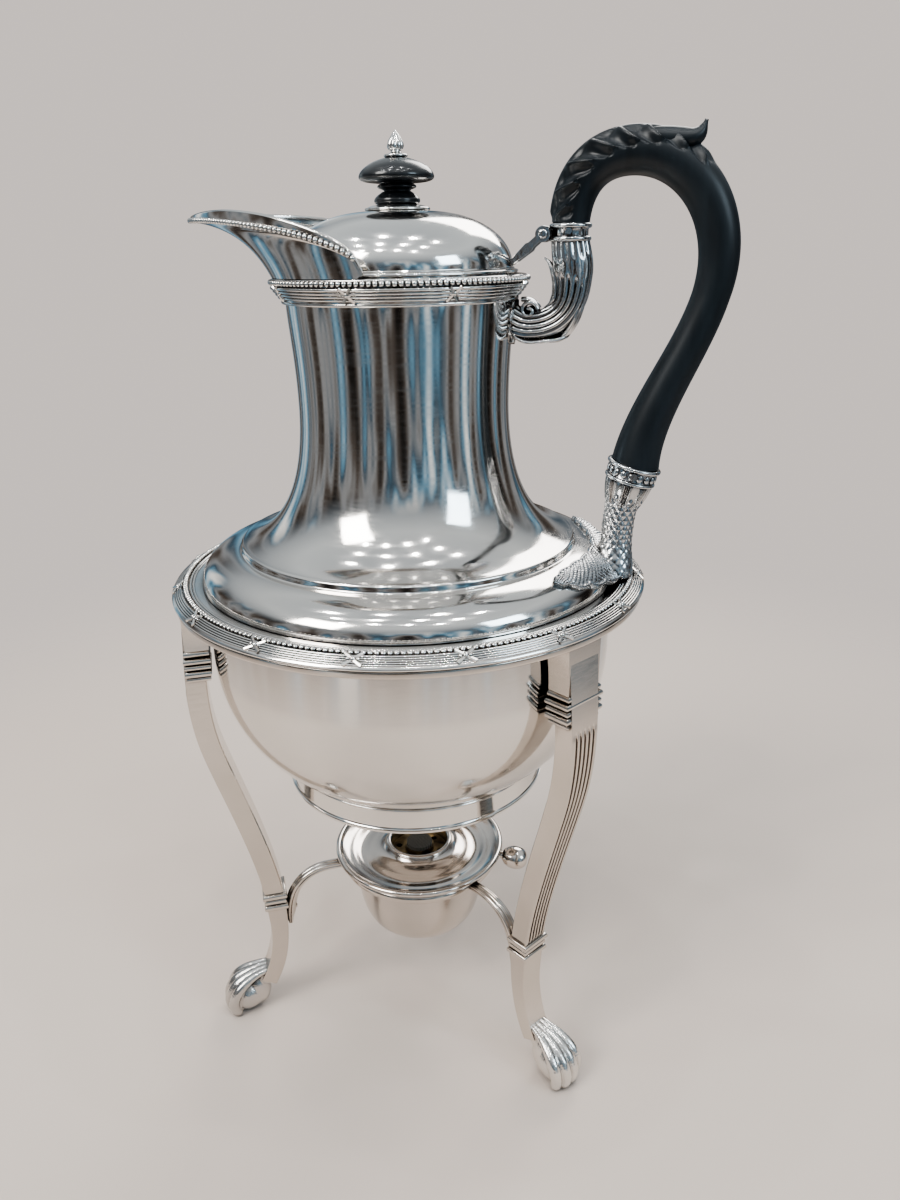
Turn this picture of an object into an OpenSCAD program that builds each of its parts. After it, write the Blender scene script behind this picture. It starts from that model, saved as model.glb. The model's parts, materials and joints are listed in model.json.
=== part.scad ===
// Silver coffee jug on a three-legged stand with a spirit lamp.
// Millimetres. +Z is up, the handle points along +X and the lip along -X.
// The origin is on the jug's axis, in the plane of the paws' soles.

/* [Stand] */
// Height of the seat that the jug rests on
stand_h = 176.5; // [150:0.5:215]
// Thickness of the seat ring
seat_t = 2.4; // [1.5:0.1:4]
// How far the paws' ball centres stand from the axis
paw_reach = 71.5; // [62:0.5:86]
// Width of a leg under its top block
leg_w = 13; // [10:0.5:16]
// Width of a leg at the knee
knee_w = 9.4; // [7:0.2:12]
// Thickness of a leg seen from the side
leg_t = 7; // [5.5:0.1:8.5]
// Angle of the right leg round the axis, from +X
leg_turn = -34.5; // [-40:0.5:-28]

/* [Lamp] */
// Height of the lamp pan's rim
lamp_h = 65.5; // [55:0.5:78]
// Outer radius of the lamp pan
pan_r = 32.7; // [30:0.1:40]
// Outer radius of the spirit cup
cup_r = 25.4; // [20:0.1:27]
// Depth of the spirit cup
cup_d = 29.6; // [20:0.1:36]
// Outer radius of the burner collar
collar_r = 13; // [10:0.1:16]
// Radius of the wick
wick_r = 5; // [3:0.1:6]

/* [Jug] */
// Outer radius of the bowl
bowl_r = 69; // [60:0.5:84]
// Straight wall at the top of the bowl
bowl_wall_h = 25.3; // [18:0.1:32]
// Depth of the bowl's curve
bowl_d = 58; // [50:0.5:70]
// Outer radius of the foot ring
foot_r = 46; // [38:0.5:56]
// Height of the foot ring
foot_h = 9.1; // [6:0.1:12]
// How far the girdle stands out from the bowl
girdle_w = 11; // [9:0.1:14]
// Height of the girdle
girdle_h = 3.6; // [2.5:0.1:5]
// Rise of the shoulder from the girdle to the neck's step
shoulder_h = 12.3; // [9:0.1:15]
// Radius of the neck's step
step_r = 56.2; // [50:0.2:60]
// Height of the neck above its step
neck_h = 82; // [68:0.5:100]
// Radius at the neck's waist
waist_r = 33.9; // [30:0.1:35]
// Radius at the neck's mouth
mouth_r = 35.6; // [33:0.1:40]
// Thickness of the sheet silver
sheet_t = 1.2; // [0.8:0.1:1.6]
// How far the lip reaches from the axis
lip_reach = 68; // [60:0.5:80]
// Rise of the lip above the mouth
lip_h = 16.6; // [12:0.2:20]

/* [Lid] */
// Rise of the lid's dome
dome_h = 16.5; // [12:0.1:20]
// Radius of the finial's cap
cap_r = 11.5; // [9:0.1:14]
// Height of the ebony finial
finial_h = 13; // [10.5:0.1:16]

/* [Handle] */
// How far the grip's centre line stands from the axis
handle_reach = 95; // [88:0.5:108]
// Height of the grip's centre line above the mouth
handle_rise = 32; // [26:0.5:38]
// Diameter of the grip
grip_d = 12.4; // [10:0.1:14]
// Radius of the hinge pin
pin_r = 0.9; // [0.7:0.05:1.2]

/* [Hidden] */
$fn = 96;

silver = "#c9c8c6";
pale_silver = "#d8d4cf";
ebony = "#1d2126";
brass = "#b08d4a";
cotton = "#e8e2d0";

// Clearances
seat_gap = 0.2;
lid_gap = 0.3;
run_gap = 0.04;
side_gap = 0.25;
bowl_gap = 1;

// Heights
z_gird = stand_h + seat_gap;
z_shoulder = z_gird + girdle_h;
z_step = z_shoulder + shoulder_h;
z_mouth = z_step + neck_h;
z_wide = z_shoulder - bowl_wall_h;
bowl_n = 2.1;
z_foot = z_wide - bowl_d * pow(1 - pow(foot_r / bowl_r, bowl_n), 1 / bowl_n);
girdle_r = bowl_r + girdle_w;

// A cubic curve through four control points, as n + 1 points
function bez(a, b, c, d, n = 12) = [for (i = [0:n]) let (t = i / n, s = 1 - t)
    s * s * s * a + 3 * s * s * t * b + 3 * s * t * t * c + t * t * t * d];
// A list without its first point
function rest(p) = [for (i = [1:len(p) - 1]) p[i]];
// A list turned end for end
function back(p) = [for (i = [len(p) - 1:-1:0]) p[i]];
// Direction of an open path at its point i
function along(p, i) = let (d = p[min(i + 1, len(p) - 1)] - p[max(i - 1, 0)]) d / norm(d);
// A flat path moved sideways by d, to the left of its direction
function beside(p, d) = [for (i = [0:len(p) - 1]) let (t = along(p, i)) p[i] + d * [-t[1], t[0]]];
// A closed sheet of thickness t on the left of a flat path
function sheet(p, t) = concat(p, back(beside(p, t)));

// A tube along a path in the XZ plane; half holds its half-width in the plane and across it
module tube(path, half, n = 14) {
    rings = [for (i = [0:len(path) - 1]) let (t = along(path, i)) for (j = [0:n - 1])
        let (a = 360 * j / n)
        [path[i][0] - t[1] * half[i][0] * cos(a), half[i][1] * sin(a),
         path[i][1] + t[0] * half[i][0] * cos(a)]];
    m = len(path);
    sides = [for (i = [0:m - 2]) for (j = [0:n - 1])
        [i * n + j, i * n + (j + 1) % n, (i + 1) * n + (j + 1) % n, (i + 1) * n + j]];
    polyhedron(rings, concat([[for (j = [n - 1:-1:0]) j]], sides,
        [[for (j = [0:n - 1]) (m - 1) * n + j]]), convexity = 6);
}

// ---- Stand ----
// Left, right and rear
leg_angles = [leg_turn - 120, leg_turn, leg_turn + 120];
ring_in = bowl_r + bowl_gap;
ring_out = girdle_r - 0.8;
leg_top = stand_h - seat_t;
leg_top_r = bowl_r + 5.4;
knee_z = 0.29 * stand_h;
knee_r = 0.803 * paw_reach;
leg_path = concat(
    bez([leg_top_r, leg_top], [leg_top_r + 0.4, leg_top - 16], [leg_top_r + 3.2, leg_top - 31],
        [leg_top_r - 0.2, leg_top - 50], 14),
    rest(bez([leg_top_r - 0.2, leg_top - 50], [leg_top_r - 2.4, leg_top - 63],
        [knee_r + 0.8, knee_z + 21], [knee_r, knee_z], 16)),
    rest(bez([knee_r, knee_z], [knee_r - 0.2, knee_z - 8], [knee_r - 2.9, 28],
        [paw_reach - 8.5, 13], 12)));
block_h = 15;
collar_zs = [for (i = [0:3]) leg_top - block_h - 1.4 - 2.5 * i];

module ring_at(r, z, w) {
    rotate_extrude() translate([r, z]) circle(w, $fn = 24);
}

module stand_ring() {
    color(silver) difference() {
        union() {
            translate([0, 0, leg_top]) cylinder(h = seat_t, r = ring_out - 0.6);
            translate([0, 0, leg_top + 0.4]) cylinder(h = seat_t - 0.8, r = ring_out);
        }
        translate([0, 0, leg_top - 1]) cylinder(h = seat_t + 2, r = ring_in);
    }
}

// One leg, from the seat ring to the paw, at its angle round the axis
module leg(angle) {
    color(pale_silver) rotate([0, 0, angle]) {
        difference() {
            union() {
                intersection() {
                    rotate([90, 0, 0]) linear_extrude(height = 2 * leg_w, center = true)
                        polygon(concat(beside(leg_path, leg_t / 2), back(beside(leg_path, -leg_t / 2))));
                    rotate([90, 0, 90]) linear_extrude(height = 2 * girdle_r)
                        polygon([[-leg_w / 2, leg_top], [leg_w / 2, leg_top],
                            [knee_w / 2, knee_z], [knee_w / 2 - 0.5, 0],
                            [0.5 - knee_w / 2, 0], [-knee_w / 2, knee_z]]);
                }
                leg_block();
                knee_collar();
                paw();
            }
            translate([0, 0, -10]) cylinder(h = 10, r = 2 * paw_reach);
            translate([0, 0, leg_top]) cylinder(h = 10, r = 2 * paw_reach);
        }
    }
}

// Square block and stepped fillets at the top of a leg
module leg_block() {
    inner = ring_in + 0.3;
    depth = leg_top_r + leg_t / 2 + 1 - inner;
    translate([inner, -leg_w / 2 - 0.6, leg_top - block_h]) cube([depth - 0.6, leg_w + 1.2, block_h]);
    for (i = [0:3]) translate([inner, 0, collar_zs[i]])
        rotate([0, 90, 0]) bar(depth + (i == 1 ? 0.9 : 0.2), leg_w + (i == 1 ? 4.2 : 2.8), 1.1);
}

// A rounded bar across a leg: length along X is l, width w, half-height h
module bar(l, w, h) {
    translate([-h, -w / 2, 0]) cube([2 * h, w, l]);
}

module knee_collar() {
    for (dz = [-2.4, 2.2]) translate([knee_r - leg_t / 2 - 0.8, 0, knee_z + dz])
        rotate([0, 90, 0]) bar(leg_t + 1.6, knee_w + 2, 1.2);
}

// Lion's paw: a ball with four toes
module paw() {
    translate([paw_reach - 2.5, 0, 6.6]) sphere(7.4, $fn = 32);
    translate([paw_reach - 7, 0, 12.5]) sphere(5, $fn = 32);
    for (i = [0:3]) let (y = (i - 1.5) * 2.6) {
        translate([paw_reach + 6.4 - 0.1 * y * y, y, 8.6]) sphere(3.6, $fn = 24);
        translate([paw_reach + 4.6 - 0.1 * y * y, y, 3.2]) sphere(3.3, $fn = 24);
    }
}

// ---- Lamp holder ----
holder_w = 2;
holder_r = cup_r + 0.9 + holder_w;
holder_z = lamp_h - 5.4;
strut_w = 2.2;
strut_end_z = knee_z - 13;
strut_path = bez([holder_r + holder_w - 0.3, holder_z + 0.3], [holder_r + 13.5, holder_z + 2],
    [knee_r - leg_t / 2 - 1.6, holder_z - 4], [knee_r - leg_t / 2 - 1.5, strut_end_z], 16);

module lamp_ring() {
    color(silver) ring_at(holder_r, holder_z, holder_w);
}

// Reeded arm from the lamp holder to a leg
module strut(angle) {
    m = len(strut_path) - 1;
    color(silver) rotate([0, 0, angle])
        tube(strut_path, [for (i = [0:m]) let (s = i / m) strut_w * [0.8 + 0.2 * s, 0.9 + 0.3 * s]], 12);
}

// The three rivets that hold the struts to the legs
module strut_rivets() {
    color(silver) for (a = leg_angles) rotate([0, 0, a])
        translate([knee_r - leg_t / 2 - 1.5 - strut_w - 0.9, 0, strut_end_z + 6])
            rotate([0, 90, 0]) cylinder(h = 0.9, r1 = 0.9, r2 = 1.4, $fn = 32);
}

// ---- Lamp ----
pan_t = 0.9;
pan_low = lamp_h - 3.9;
collar_t = 2.2;
tube_t = 0.6;
plate_z = pan_low - 1.2;
cup_top = pan_low;
cup_low = cup_top - cup_d;

module lamp_cup() {
    outside = concat([[0, cup_low], [0.55 * cup_r, cup_low]],
        bez([0.6 * cup_r, cup_low], [0.86 * cup_r, cup_low + 1], [0.93 * cup_r, cup_low + 0.42 * cup_d],
            [cup_r, cup_top - 0.6], 12), [[cup_r, cup_top]]);
    color(pale_silver) rotate_extrude() polygon(sheet(outside, 1));
}

// Dished cover that closes the cup, with a rolled rim
module lamp_pan() {
    top = concat([[pan_r - 1, lamp_h - 0.5]],
        bez([pan_r - 1.6, lamp_h - 0.7], [pan_r - 6, lamp_h - 1.2], [cup_r, pan_low + pan_t],
            [collar_r + 5, pan_low + pan_t], 8), [[collar_r, pan_low + 2.2]]);
    low = [[collar_r, pan_low], [cup_r + 0.3, pan_low], [holder_r, pan_low + 0.95],
        [pan_r - 1, lamp_h - 1.6]];
    color(silver) rotate_extrude() union() {
        polygon(concat(top, low));
        translate([pan_r - 1.1, lamp_h - 1]) circle(1.1, $fn = 24);
    }
}

module lamp_collar() {
    color(silver) rotate_extrude() {
        translate([collar_r - collar_t, plate_z]) square([collar_t - 0.01, lamp_h - plate_z]);
        translate([collar_r - collar_t / 2, lamp_h]) circle(collar_t / 2 - 0.005, $fn = 24);
    }
}

module burner_plate() {
    color(brass) translate([0, 0, plate_z]) difference() {
        cylinder(h = 1, r = collar_r - collar_t);
        translate([0, 0, -1]) cylinder(h = 3, r = wick_r + tube_t + 0.05);
        for (a = [0:60:300]) rotate([0, 0, a]) translate([(collar_r - collar_t + wick_r + tube_t) / 2, 0, -1])
            cylinder(h = 3, r = 1.2, $fn = 24);
    }
}

module wick_tube() {
    color(brass) translate([0, 0, plate_z - 12]) difference() {
        cylinder(h = 15, r = wick_r + tube_t + 0.05);
        translate([0, 0, -1]) cylinder(h = 17, r = wick_r + 0.05);
    }
}

module wick() {
    color(cotton) translate([0, 0, cup_low + 2]) cylinder(h = plate_z + 4.4 - cup_low - 2, r = wick_r);
}

// Egg-shaped finger knob on the side of the pan
module lamp_knob() {
    color(silver) rotate([0, 0, 2]) translate([pan_r - 0.4, 0, lamp_h - 3.4]) rotate([0, 98, 0])
        rotate_extrude() polygon(concat([[0, 0], [1.6, 0]],
            rest(bez([1.6, 0], [3.4, 2.4], [6.6, 10.5], [0, 10.4], 14))));
}

// ---- Jug ----
// The bowl's outer radius at a height
function bowl_at(z) = z >= z_wide ? bowl_r
    : bowl_r * pow(1 - pow((z_wide - z) / bowl_d, bowl_n), 1 / bowl_n);
foot_low = z_foot - foot_h;
bowl_out = concat([[0, z_foot - 3.4], [0.6 * foot_r, z_foot - 3.4], [foot_r - 3, z_foot - 1.6]],
    [for (i = [0:20]) let (z = z_foot + (z_wide - z_foot) * i / 20) [bowl_at(z), z]],
    [[bowl_r, z_shoulder]]);
shoulder_r = bowl_r + 0.9;
shoulder_curve = concat([[shoulder_r, z_shoulder]],
    bez([shoulder_r, z_shoulder + 0.5], [shoulder_r, z_step - 5.4],
        [step_r + 6, z_step - 2.8], [step_r + 0.6, z_step - 2.3], 12));
z_waist = z_step + 0.53 * neck_h;
z_band = z_mouth - 7.6;
neck_curve = concat(
    bez([step_r, z_step], [waist_r + 5.1, z_step + 3.9], [waist_r, z_step + 0.285 * neck_h],
        [waist_r, z_waist], 18),
    rest(bez([waist_r, z_waist], [waist_r, z_waist + 14], [mouth_r - 0.3, z_band - 8],
        [mouth_r, z_band], 8)),
    [[mouth_r, z_mouth]]);

module jug_bowl() {
    color(pale_silver) rotate_extrude() polygon(sheet(bowl_out, sheet_t));
}

// Half-plane outline of the shoulder and neck, from the girdle to the mouth
upper_out = concat(shoulder_curve, [[step_r + 0.2, z_step - 1.2]], neck_curve);

notch_z = z_mouth - 4.2;
notch_angle = 50;

// Space through which the coffee passes from the neck to the lip, under the lid
module pouring_notch() {
    rotate([0, 0, 180 - notch_angle]) rotate_extrude(angle = 2 * notch_angle)
        translate([waist_r - 8, notch_z]) square([mouth_r - waist_r + 10.2, 10]);
}

module jug_shoulder() {
    color(silver) difference() {
        rotate_extrude() polygon(sheet(upper_out, sheet_t));
        pouring_notch();
    }
}

module foot_ring() {
    color(pale_silver) rotate_extrude() polygon([
        [foot_r - sheet_t, foot_low], [foot_r + 0.8, foot_low], [foot_r + 0.8, foot_low + 1],
        [foot_r, foot_low + 1.6], [foot_r, z_foot], [foot_r - sheet_t, z_foot - 0.65]]);
}

bead_w = 0.95;
gird_bead_r = girdle_r - 4.6;
reed_w = 0.55;

// Wide reeded band round the jug, which rests on the stand
module girdle() {
    color(silver) rotate_extrude() union() {
        polygon([[bowl_r, z_gird], [girdle_r - 0.5, z_gird], [girdle_r, z_gird + 0.5],
            [girdle_r, z_gird + 0.9], [girdle_r - 3.6, z_shoulder], [bowl_r, z_shoulder]]);
        for (i = [0:3]) let (t = (i + 0.5) / 4)
            translate([girdle_r - 3.4 * (1 - t) - 0.1, z_shoulder - t * (girdle_h - 1)])
                circle(reed_w, $fn = 16);
    }
}

// Half-round wire of radius w round the axis, at radius r and height z, that faces the angle a
module bead_wire(r, z, w, a) {
    rotate_extrude() polygon([for (i = [0:6]) [r + w * cos(a - 90 + 30 * i), z + w * sin(a - 90 + 30 * i)]]);
}

module girdle_beading() {
    color(silver) bead_wire(gird_bead_r, z_shoulder, bead_w, 90);
}

band_r = mouth_r + 4.6;

// Reeded band round the neck's mouth
module neck_band() {
    color(silver) difference() {
        rotate_extrude() union() {
            polygon([[mouth_r, z_band], [mouth_r + 0.5, z_band], [mouth_r + 2.3, z_band + 2.6],
                [band_r - 0.6, z_mouth - 2.6], [band_r - 0.6, z_mouth], [mouth_r, z_mouth]]);
            for (i = [0:3]) let (t = (i + 0.5) / 4)
                translate([mouth_r + 1.8 + 2 * t, z_band + 2.2 + 2.9 * t]) circle(reed_w, $fn = 16);
        }
        pouring_notch();
    }
}

// Beaded wire round the outside of the neck band
module neck_beading() {
    color(silver) bead_wire(band_r - 0.6, z_mouth - 1.3, bead_w, 0);
}

// ---- Lip ----
lip_base = band_r - 1;
lip_n = 26;
lip_rows = 7;

// Share of the lip's reach at the place u, from -1 to 1 round the lip
function lip_t(u) = pow(cos(90 * abs(u)), 0.9);
// Half-width of the lip at the share t of its reach
function lip_w(t) = lip_base * pow(max(0, 1 - pow(t, 2.4)), 0.95);
// Height of the lip's edge above the mouth
function lip_rise(t) = 0.9 + (lip_h - 0.9) * (1 - pow(1 - sqrt(t), 1.45));
// Edge of the lip, moved in by d
function lip_edge(u, d) = let (t = lip_t(u), s = 1 - d / lip_base)
    [-(lip_reach - 2 * d) * t, sign(u) * lip_w(t) * s, z_mouth + lip_rise(t)];
// Foot of the lip on the neck band, moved in by d
function lip_foot(u, d) = [-(lip_base - d) * cos(88 * u), (lip_base - d) * sin(88 * u), z_mouth];
// Point of the lip's wall, at v from its foot to its edge
function lip_at(u, v, d) = let (a = lip_foot(u, d), b = lip_edge(u, d),
        c = [a[0] + 0.3 * (b[0] - a[0]), a[1] + 0.3 * (b[1] - a[1]), a[2] + 0.83 * (b[2] - a[2])])
    (1 - v) * (1 - v) * a + 2 * v * (1 - v) * c + v * v * b;
// Crest of the lip's rolled edge, above its bead
function lip_crest(u, d) = let (b = lip_edge(u, d), t = lip_t(u))
    [b[0], b[1], b[2] + 0.9 + 2.2 * sin(180 * min(1, t)) + 0.4 * t];

module spout() {
    wall = sheet_t;
    rows = lip_rows + 1;
    columns = [for (i = [0:lip_n]) concat(
        [for (k = [0:lip_rows]) lip_at(2 * i / lip_n - 1, k / lip_rows, 0)],
        [lip_crest(2 * i / lip_n - 1, 0.35), lip_crest(2 * i / lip_n - 1, wall)],
        [for (k = [lip_rows:-1:0]) lip_at(2 * i / lip_n - 1, k / lip_rows, wall)])];
    m = 2 * rows + 2;
    points = [for (c = columns) for (p = c) p];
    walls = [for (i = [0:lip_n - 1]) for (k = [0:m - 1])
        [i * m + k, i * m + (k + 1) % m, (i + 1) * m + (k + 1) % m, (i + 1) * m + k]];
    color(silver) polyhedron(points, concat([[for (k = [m - 1:-1:0]) k]], walls,
        [[for (k = [0:m - 1]) lip_n * m + k]]), convexity = 8);
}

// Wire of beads below the lip's edge
module spout_beading() {
    n = 44;
    sides = 8;
    w = 0.8;
    path = [for (i = [0:n]) let (u = (2 * i / n - 1) * 0.985, e = lip_edge(u, 0), t = lip_t(u))
        e + [-(w + 0.12) * cos(90 * u), (w + 0.12) * sin(90 * u), 0.4]];
    points = [for (i = [0:n]) let (d = path[min(i + 1, n)] - path[max(i - 1, 0)], h = d / norm(d),
            side = cross(h, [0, 0, 1]), s = side / norm(side), up = cross(s, h))
        for (j = [0:sides - 1]) path[i] + w * (cos(360 * j / sides) * s + sin(360 * j / sides) * up)];
    walls = [for (i = [0:n - 1]) for (j = [0:sides - 1])
        [i * sides + j, i * sides + (j + 1) % sides, (i + 1) * sides + (j + 1) % sides, (i + 1) * sides + j]];
    color(silver) polyhedron(points, concat([[for (j = [sides - 1:-1:0]) j]], walls,
        [[for (j = [0:sides - 1]) n * sides + j]]), convexity = 8);
}

// ---- Handle ----
hinge_x = mouth_r + 9;
hinge_z = z_mouth + 10.9;
lug_w = 4;
strap_t = 1.8;
boss_r = 2.2;
socket_x = hinge_x + 7.7;
socket_z = z_mouth + 9;
socket_h = 5.1;
grip_r = grip_d / 2;
ferrule_r = grip_r - 0.4;
tenon_r = ferrule_r - 1.4;
cup_x = shoulder_r + 4.8;
cup_z = z_step + 16;
cup_h = 9;
grip_top = z_mouth + handle_rise;
grip_base = cup_z + cup_h;
grip_path = concat(
    bez([socket_x, socket_z + socket_h], [socket_x + 0.7, socket_z + socket_h + 12.4],
        [socket_x + 7.7, grip_top], [(socket_x + handle_reach) / 2 - 3.7, grip_top], 12),
    rest(bez([(socket_x + handle_reach) / 2 - 3.7, grip_top], [handle_reach - 11, grip_top],
        [handle_reach, grip_top - 12.6], [handle_reach, grip_top - 28.6], 12)),
    rest(bez([handle_reach, grip_top - 28.6], [handle_reach, grip_top - 48.6],
        [cup_x + 2.3, grip_base + 21], [cup_x, grip_base], 16)));
grip_m = len(grip_path) - 1;

// Half-thickness of the grip at the share s of its length
function grip_half(s) = grip_r * (s < 0.6 ? 0.94 + 0.12 * sin(180 * s / 0.6)
    : 0.94 + 0.33 * pow((s - 0.6) / 0.4, 2));

module upper_socket() {
    scroll = concat(
        bez([socket_x, socket_z], [socket_x + 0.4, socket_z - 5], [socket_x + 2, socket_z - 8],
            [socket_x + 1.1, socket_z - 14], 8),
        rest(bez([socket_x + 1.1, socket_z - 14], [socket_x + 0.4, socket_z - 19.6],
            [socket_x - 3.8, socket_z - 23.9], [mouth_r + 5.4, socket_z - 24.1], 8)),
        rest(bez([mouth_r + 5.4, socket_z - 24.1], [mouth_r + 3.4, socket_z - 24.2],
            [mouth_r + 2, socket_z - 23.8], [mouth_r - 0.7, socket_z - 22.5], 4)));
    m = len(scroll) - 1;
    half = [for (i = [0:m]) let (s = i / m)
        [ferrule_r * (0.92 - 0.16 * sin(90 * min(1, s * 1.4)) + 0.12 * max(0, s - 0.75) * 4),
         ferrule_r * (0.92 - 0.2 * sin(90 * min(1, s * 1.4)) + 0.1 * max(0, s - 0.75) * 4)]];
    color(silver) difference() {
        union() {
            tube(scroll, half, 14);
            translate([socket_x, 0, socket_z]) cylinder(h = socket_h, r = ferrule_r);
            for (z = [0.7, socket_h - 0.7]) translate([socket_x, 0, socket_z + z]) rotate_extrude()
                translate([ferrule_r - 0.1, 0]) circle(0.6, $fn = 16);
        }
        translate([socket_x, 0, socket_z + 0.8]) cylinder(h = socket_h, r = tenon_r);
        for (s = [-1, 1]) translate([hinge_x, s * (lug_w + side_gap + strap_t) / 2, hinge_z])
            rotate([90, 0, 0]) cylinder(h = strap_t + side_gap + 0.4, r = boss_r + 0.35, center = true);
    }
}

// Solid inside the outline of the girdle, its beading, the shoulder and the neck
module upper_solid() {
    bead_in = gird_bead_r - bead_w - 0.1;
    bead_top = z_shoulder + bead_w + 0.1;
    rotate_extrude() polygon(concat([[0, z_gird], [girdle_r + 1, z_gird], [girdle_r + 1, bead_top],
        [bead_in, bead_top], [bead_in, z_shoulder]], upper_out, [[0, z_mouth]]));
}

stem_lean = atan2(2.6, cup_z - z_shoulder);
// Edge of one half of the leaf foot, seen from above: angle, and share of the way across the shoulder
leaf_edge = [[1, 1.27], [10, 1.2], [20, 1.04], [27, 0.93], [32, 0.75], [34, 0.61], [31, 0.45], [24, 0.34],
    [12, 0.38], [1, 0.44]];
// A point of that edge on the side s of the handle's plane
function leaf_point(p, s) = (step_r + p[1] * (shoulder_r - step_r)) * [cos(p[0]), s * sin(p[0])];

// Half-plane outline of the leaf's thickness over the girdle and the shoulder
leaf_outline = concat([[step_r, z_shoulder], [girdle_r - 6, z_shoulder], [girdle_r - 6, z_shoulder + 0.9],
    [shoulder_r + 2.7, z_shoulder + 1.8]], rest(rest(beside(shoulder_curve, -1.8))),
    [[step_r, z_step - 0.5]]);

// Stem that holds the lower end of the grip, on a leaf that spreads both ways along the shoulder
module lower_socket() {
    stem_h = cup_z - z_shoulder;
    color(silver) difference() {
        union() {
            translate([cup_x, 0, cup_z]) cylinder(h = cup_h, r1 = 1.18 * grip_r, r2 = 1.33 * grip_r);
            for (z = [0.8, cup_h - 1]) translate([cup_x, 0, cup_z + z]) rotate_extrude()
                translate([(1.18 + 0.15 * z / cup_h) * grip_r, 0]) circle(0.8, $fn = 16);
            translate([cup_x, 0, cup_z]) rotate([0, stem_lean, 0]) mirror([0, 0, 1]) rotate_extrude()
                polygon(concat([[0, -0.6], [1.1 * grip_r, -0.6]],
                    bez([1.16 * grip_r, 0], [1.1 * grip_r, 6], [0.78 * grip_r, 5], [0.78 * grip_r, 10], 8),
                    rest(bez([0.78 * grip_r, 10], [0.78 * grip_r, 16], [0.82 * grip_r, stem_h - 4],
                        [1.05 * grip_r, stem_h + 3], 6)), [[0, stem_h + 3]]));
            intersection() {
                rotate_extrude() polygon(leaf_outline);
                linear_extrude(height = z_mouth) polygon(concat(
                    [for (p = leaf_edge) leaf_point(p, 1)], [for (p = back(leaf_edge)) leaf_point(p, -1)]));
            }
        }
        upper_solid();
        translate([cup_x, 0, cup_z + cup_h - 5]) cylinder(h = 8, r = grip_r);
    }
}

// Lug on the socket between the two arms of the lid's strap
module hinge_lug() {
    color(silver) difference() {
        union() {
            translate([hinge_x, 0, hinge_z]) rotate([90, 0, 0])
                cylinder(h = lug_w, r = boss_r - 0.3, center = true);
            translate([hinge_x, -lug_w / 2, hinge_z - 1.6]) cube([socket_x - hinge_x, lug_w, 3.2]);
        }
        translate([socket_x, 0, socket_z - 2]) cylinder(h = socket_h + 6, r = ferrule_r + 0.55);
        translate([hinge_x, 0, hinge_z]) rotate([90, 0, 0])
            cylinder(h = 20, r = pin_r + run_gap, center = true);
    }
}

module handle_grip() {
    tail_foot = grip_path[16];
    color(ebony) {
        tube(grip_path, [for (i = [0:grip_m]) let (h = grip_half(i / grip_m)) [h, h * 0.96]], 16);
        translate([socket_x, 0, socket_z + 0.8]) cylinder(h = socket_h - 0.3, r = tenon_r - 0.05);
        translate([cup_x, 0, grip_base - 5]) cylinder(h = 5.5, r = grip_r - 0.05);
        tube([tail_foot + [0, grip_r - 2.5], tail_foot + [1.6, grip_r + 0.6], tail_foot + [3.4, grip_r + 3.4],
            tail_foot + [5.2, grip_r + 5.4]], [[3.6, 2.8], [2.4, 2.2], [1.4, 1.6], [0.3, 0.4]], 12);
    }
}

// The two silver pins that go right through the sockets and the ends of the grip
module handle_pins() {
    color(silver) {
        translate([socket_x, 0, socket_z + socket_h / 2]) rotate([90, 0, 0])
            cylinder(h = 2 * ferrule_r + 0.8, r = 0.9, center = true, $fn = 32);
        translate([cup_x, 0, grip_base - 2.5]) rotate([90, 0, 0])
            cylinder(h = 2.66 * grip_r + 0.6, r = 1.1, center = true, $fn = 32);
    }
}

// ---- Lid ----
bezel_t = 1.5;
bezel_z = z_mouth + lid_gap;
bezel_r = mouth_r + 1;
dome_r = mouth_r - 0.7;
dome_z = bezel_z + bezel_t;
dome_top = dome_z + dome_h;
screw_r = 1.5;
dome_out = concat([[dome_r, dome_z]],
    bez([dome_r, dome_z + 0.4], [dome_r, dome_z + 0.58 * dome_h], [0.69 * dome_r, dome_top - 0.2],
        [7, dome_top], 18), [[screw_r + 0.05, dome_top]]);

module lid_dome() {
    color(silver) rotate_extrude() polygon(sheet(dome_out, sheet_t));
}

module lid_bezel() {
    color(silver) rotate_extrude() {
        translate([dome_r - 2.6, bezel_z]) square([bezel_r - dome_r + 2.6, bezel_t]);
        translate([dome_r - 2.6, bezel_z - 2.6]) square([sheet_t, 3]);
    }
}

// Forked strap that carries the lid on its hinge pin
module lid_strap() {
    low = [bezel_r - 2.8, dome_z + 0.05];
    run = [hinge_x, hinge_z] - low;
    side = [-run[1], run[0]] / norm(run);
    arm_y = lug_w / 2 + side_gap + strap_t / 2;
    color(silver) for (s = [-1, 1]) translate([0, s * arm_y, 0]) rotate([90, 0, 0])
        linear_extrude(height = strap_t, center = true) difference() {
            union() {
                translate([hinge_x, hinge_z]) circle(boss_r, $fn = 48);
                polygon([low + [0.4, 0], [bezel_r - 0.2, dome_z + 0.05], [hinge_x, hinge_z] - 1.6 * side,
                    [hinge_x, hinge_z] + 1.6 * side, low + [0.4, 1.1]]);
            }
            translate([hinge_x, hinge_z]) circle(pin_r + 0.005, $fn = 48);
        }
}

module hinge_pin() {
    w = lug_w + 2 * side_gap + 2 * strap_t;
    color(silver) translate([hinge_x, 0, hinge_z]) rotate([90, 0, 0]) {
        cylinder(h = w, r = pin_r, center = true);
        for (s = [-1, 1]) translate([0, 0, s * (w / 2 + 0.35)])
            cylinder(h = 0.7, r = 1.3, center = true, $fn = 32);
    }
}

plate_top = dome_top + 1.5;
knob_top = plate_top + finial_h;

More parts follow.
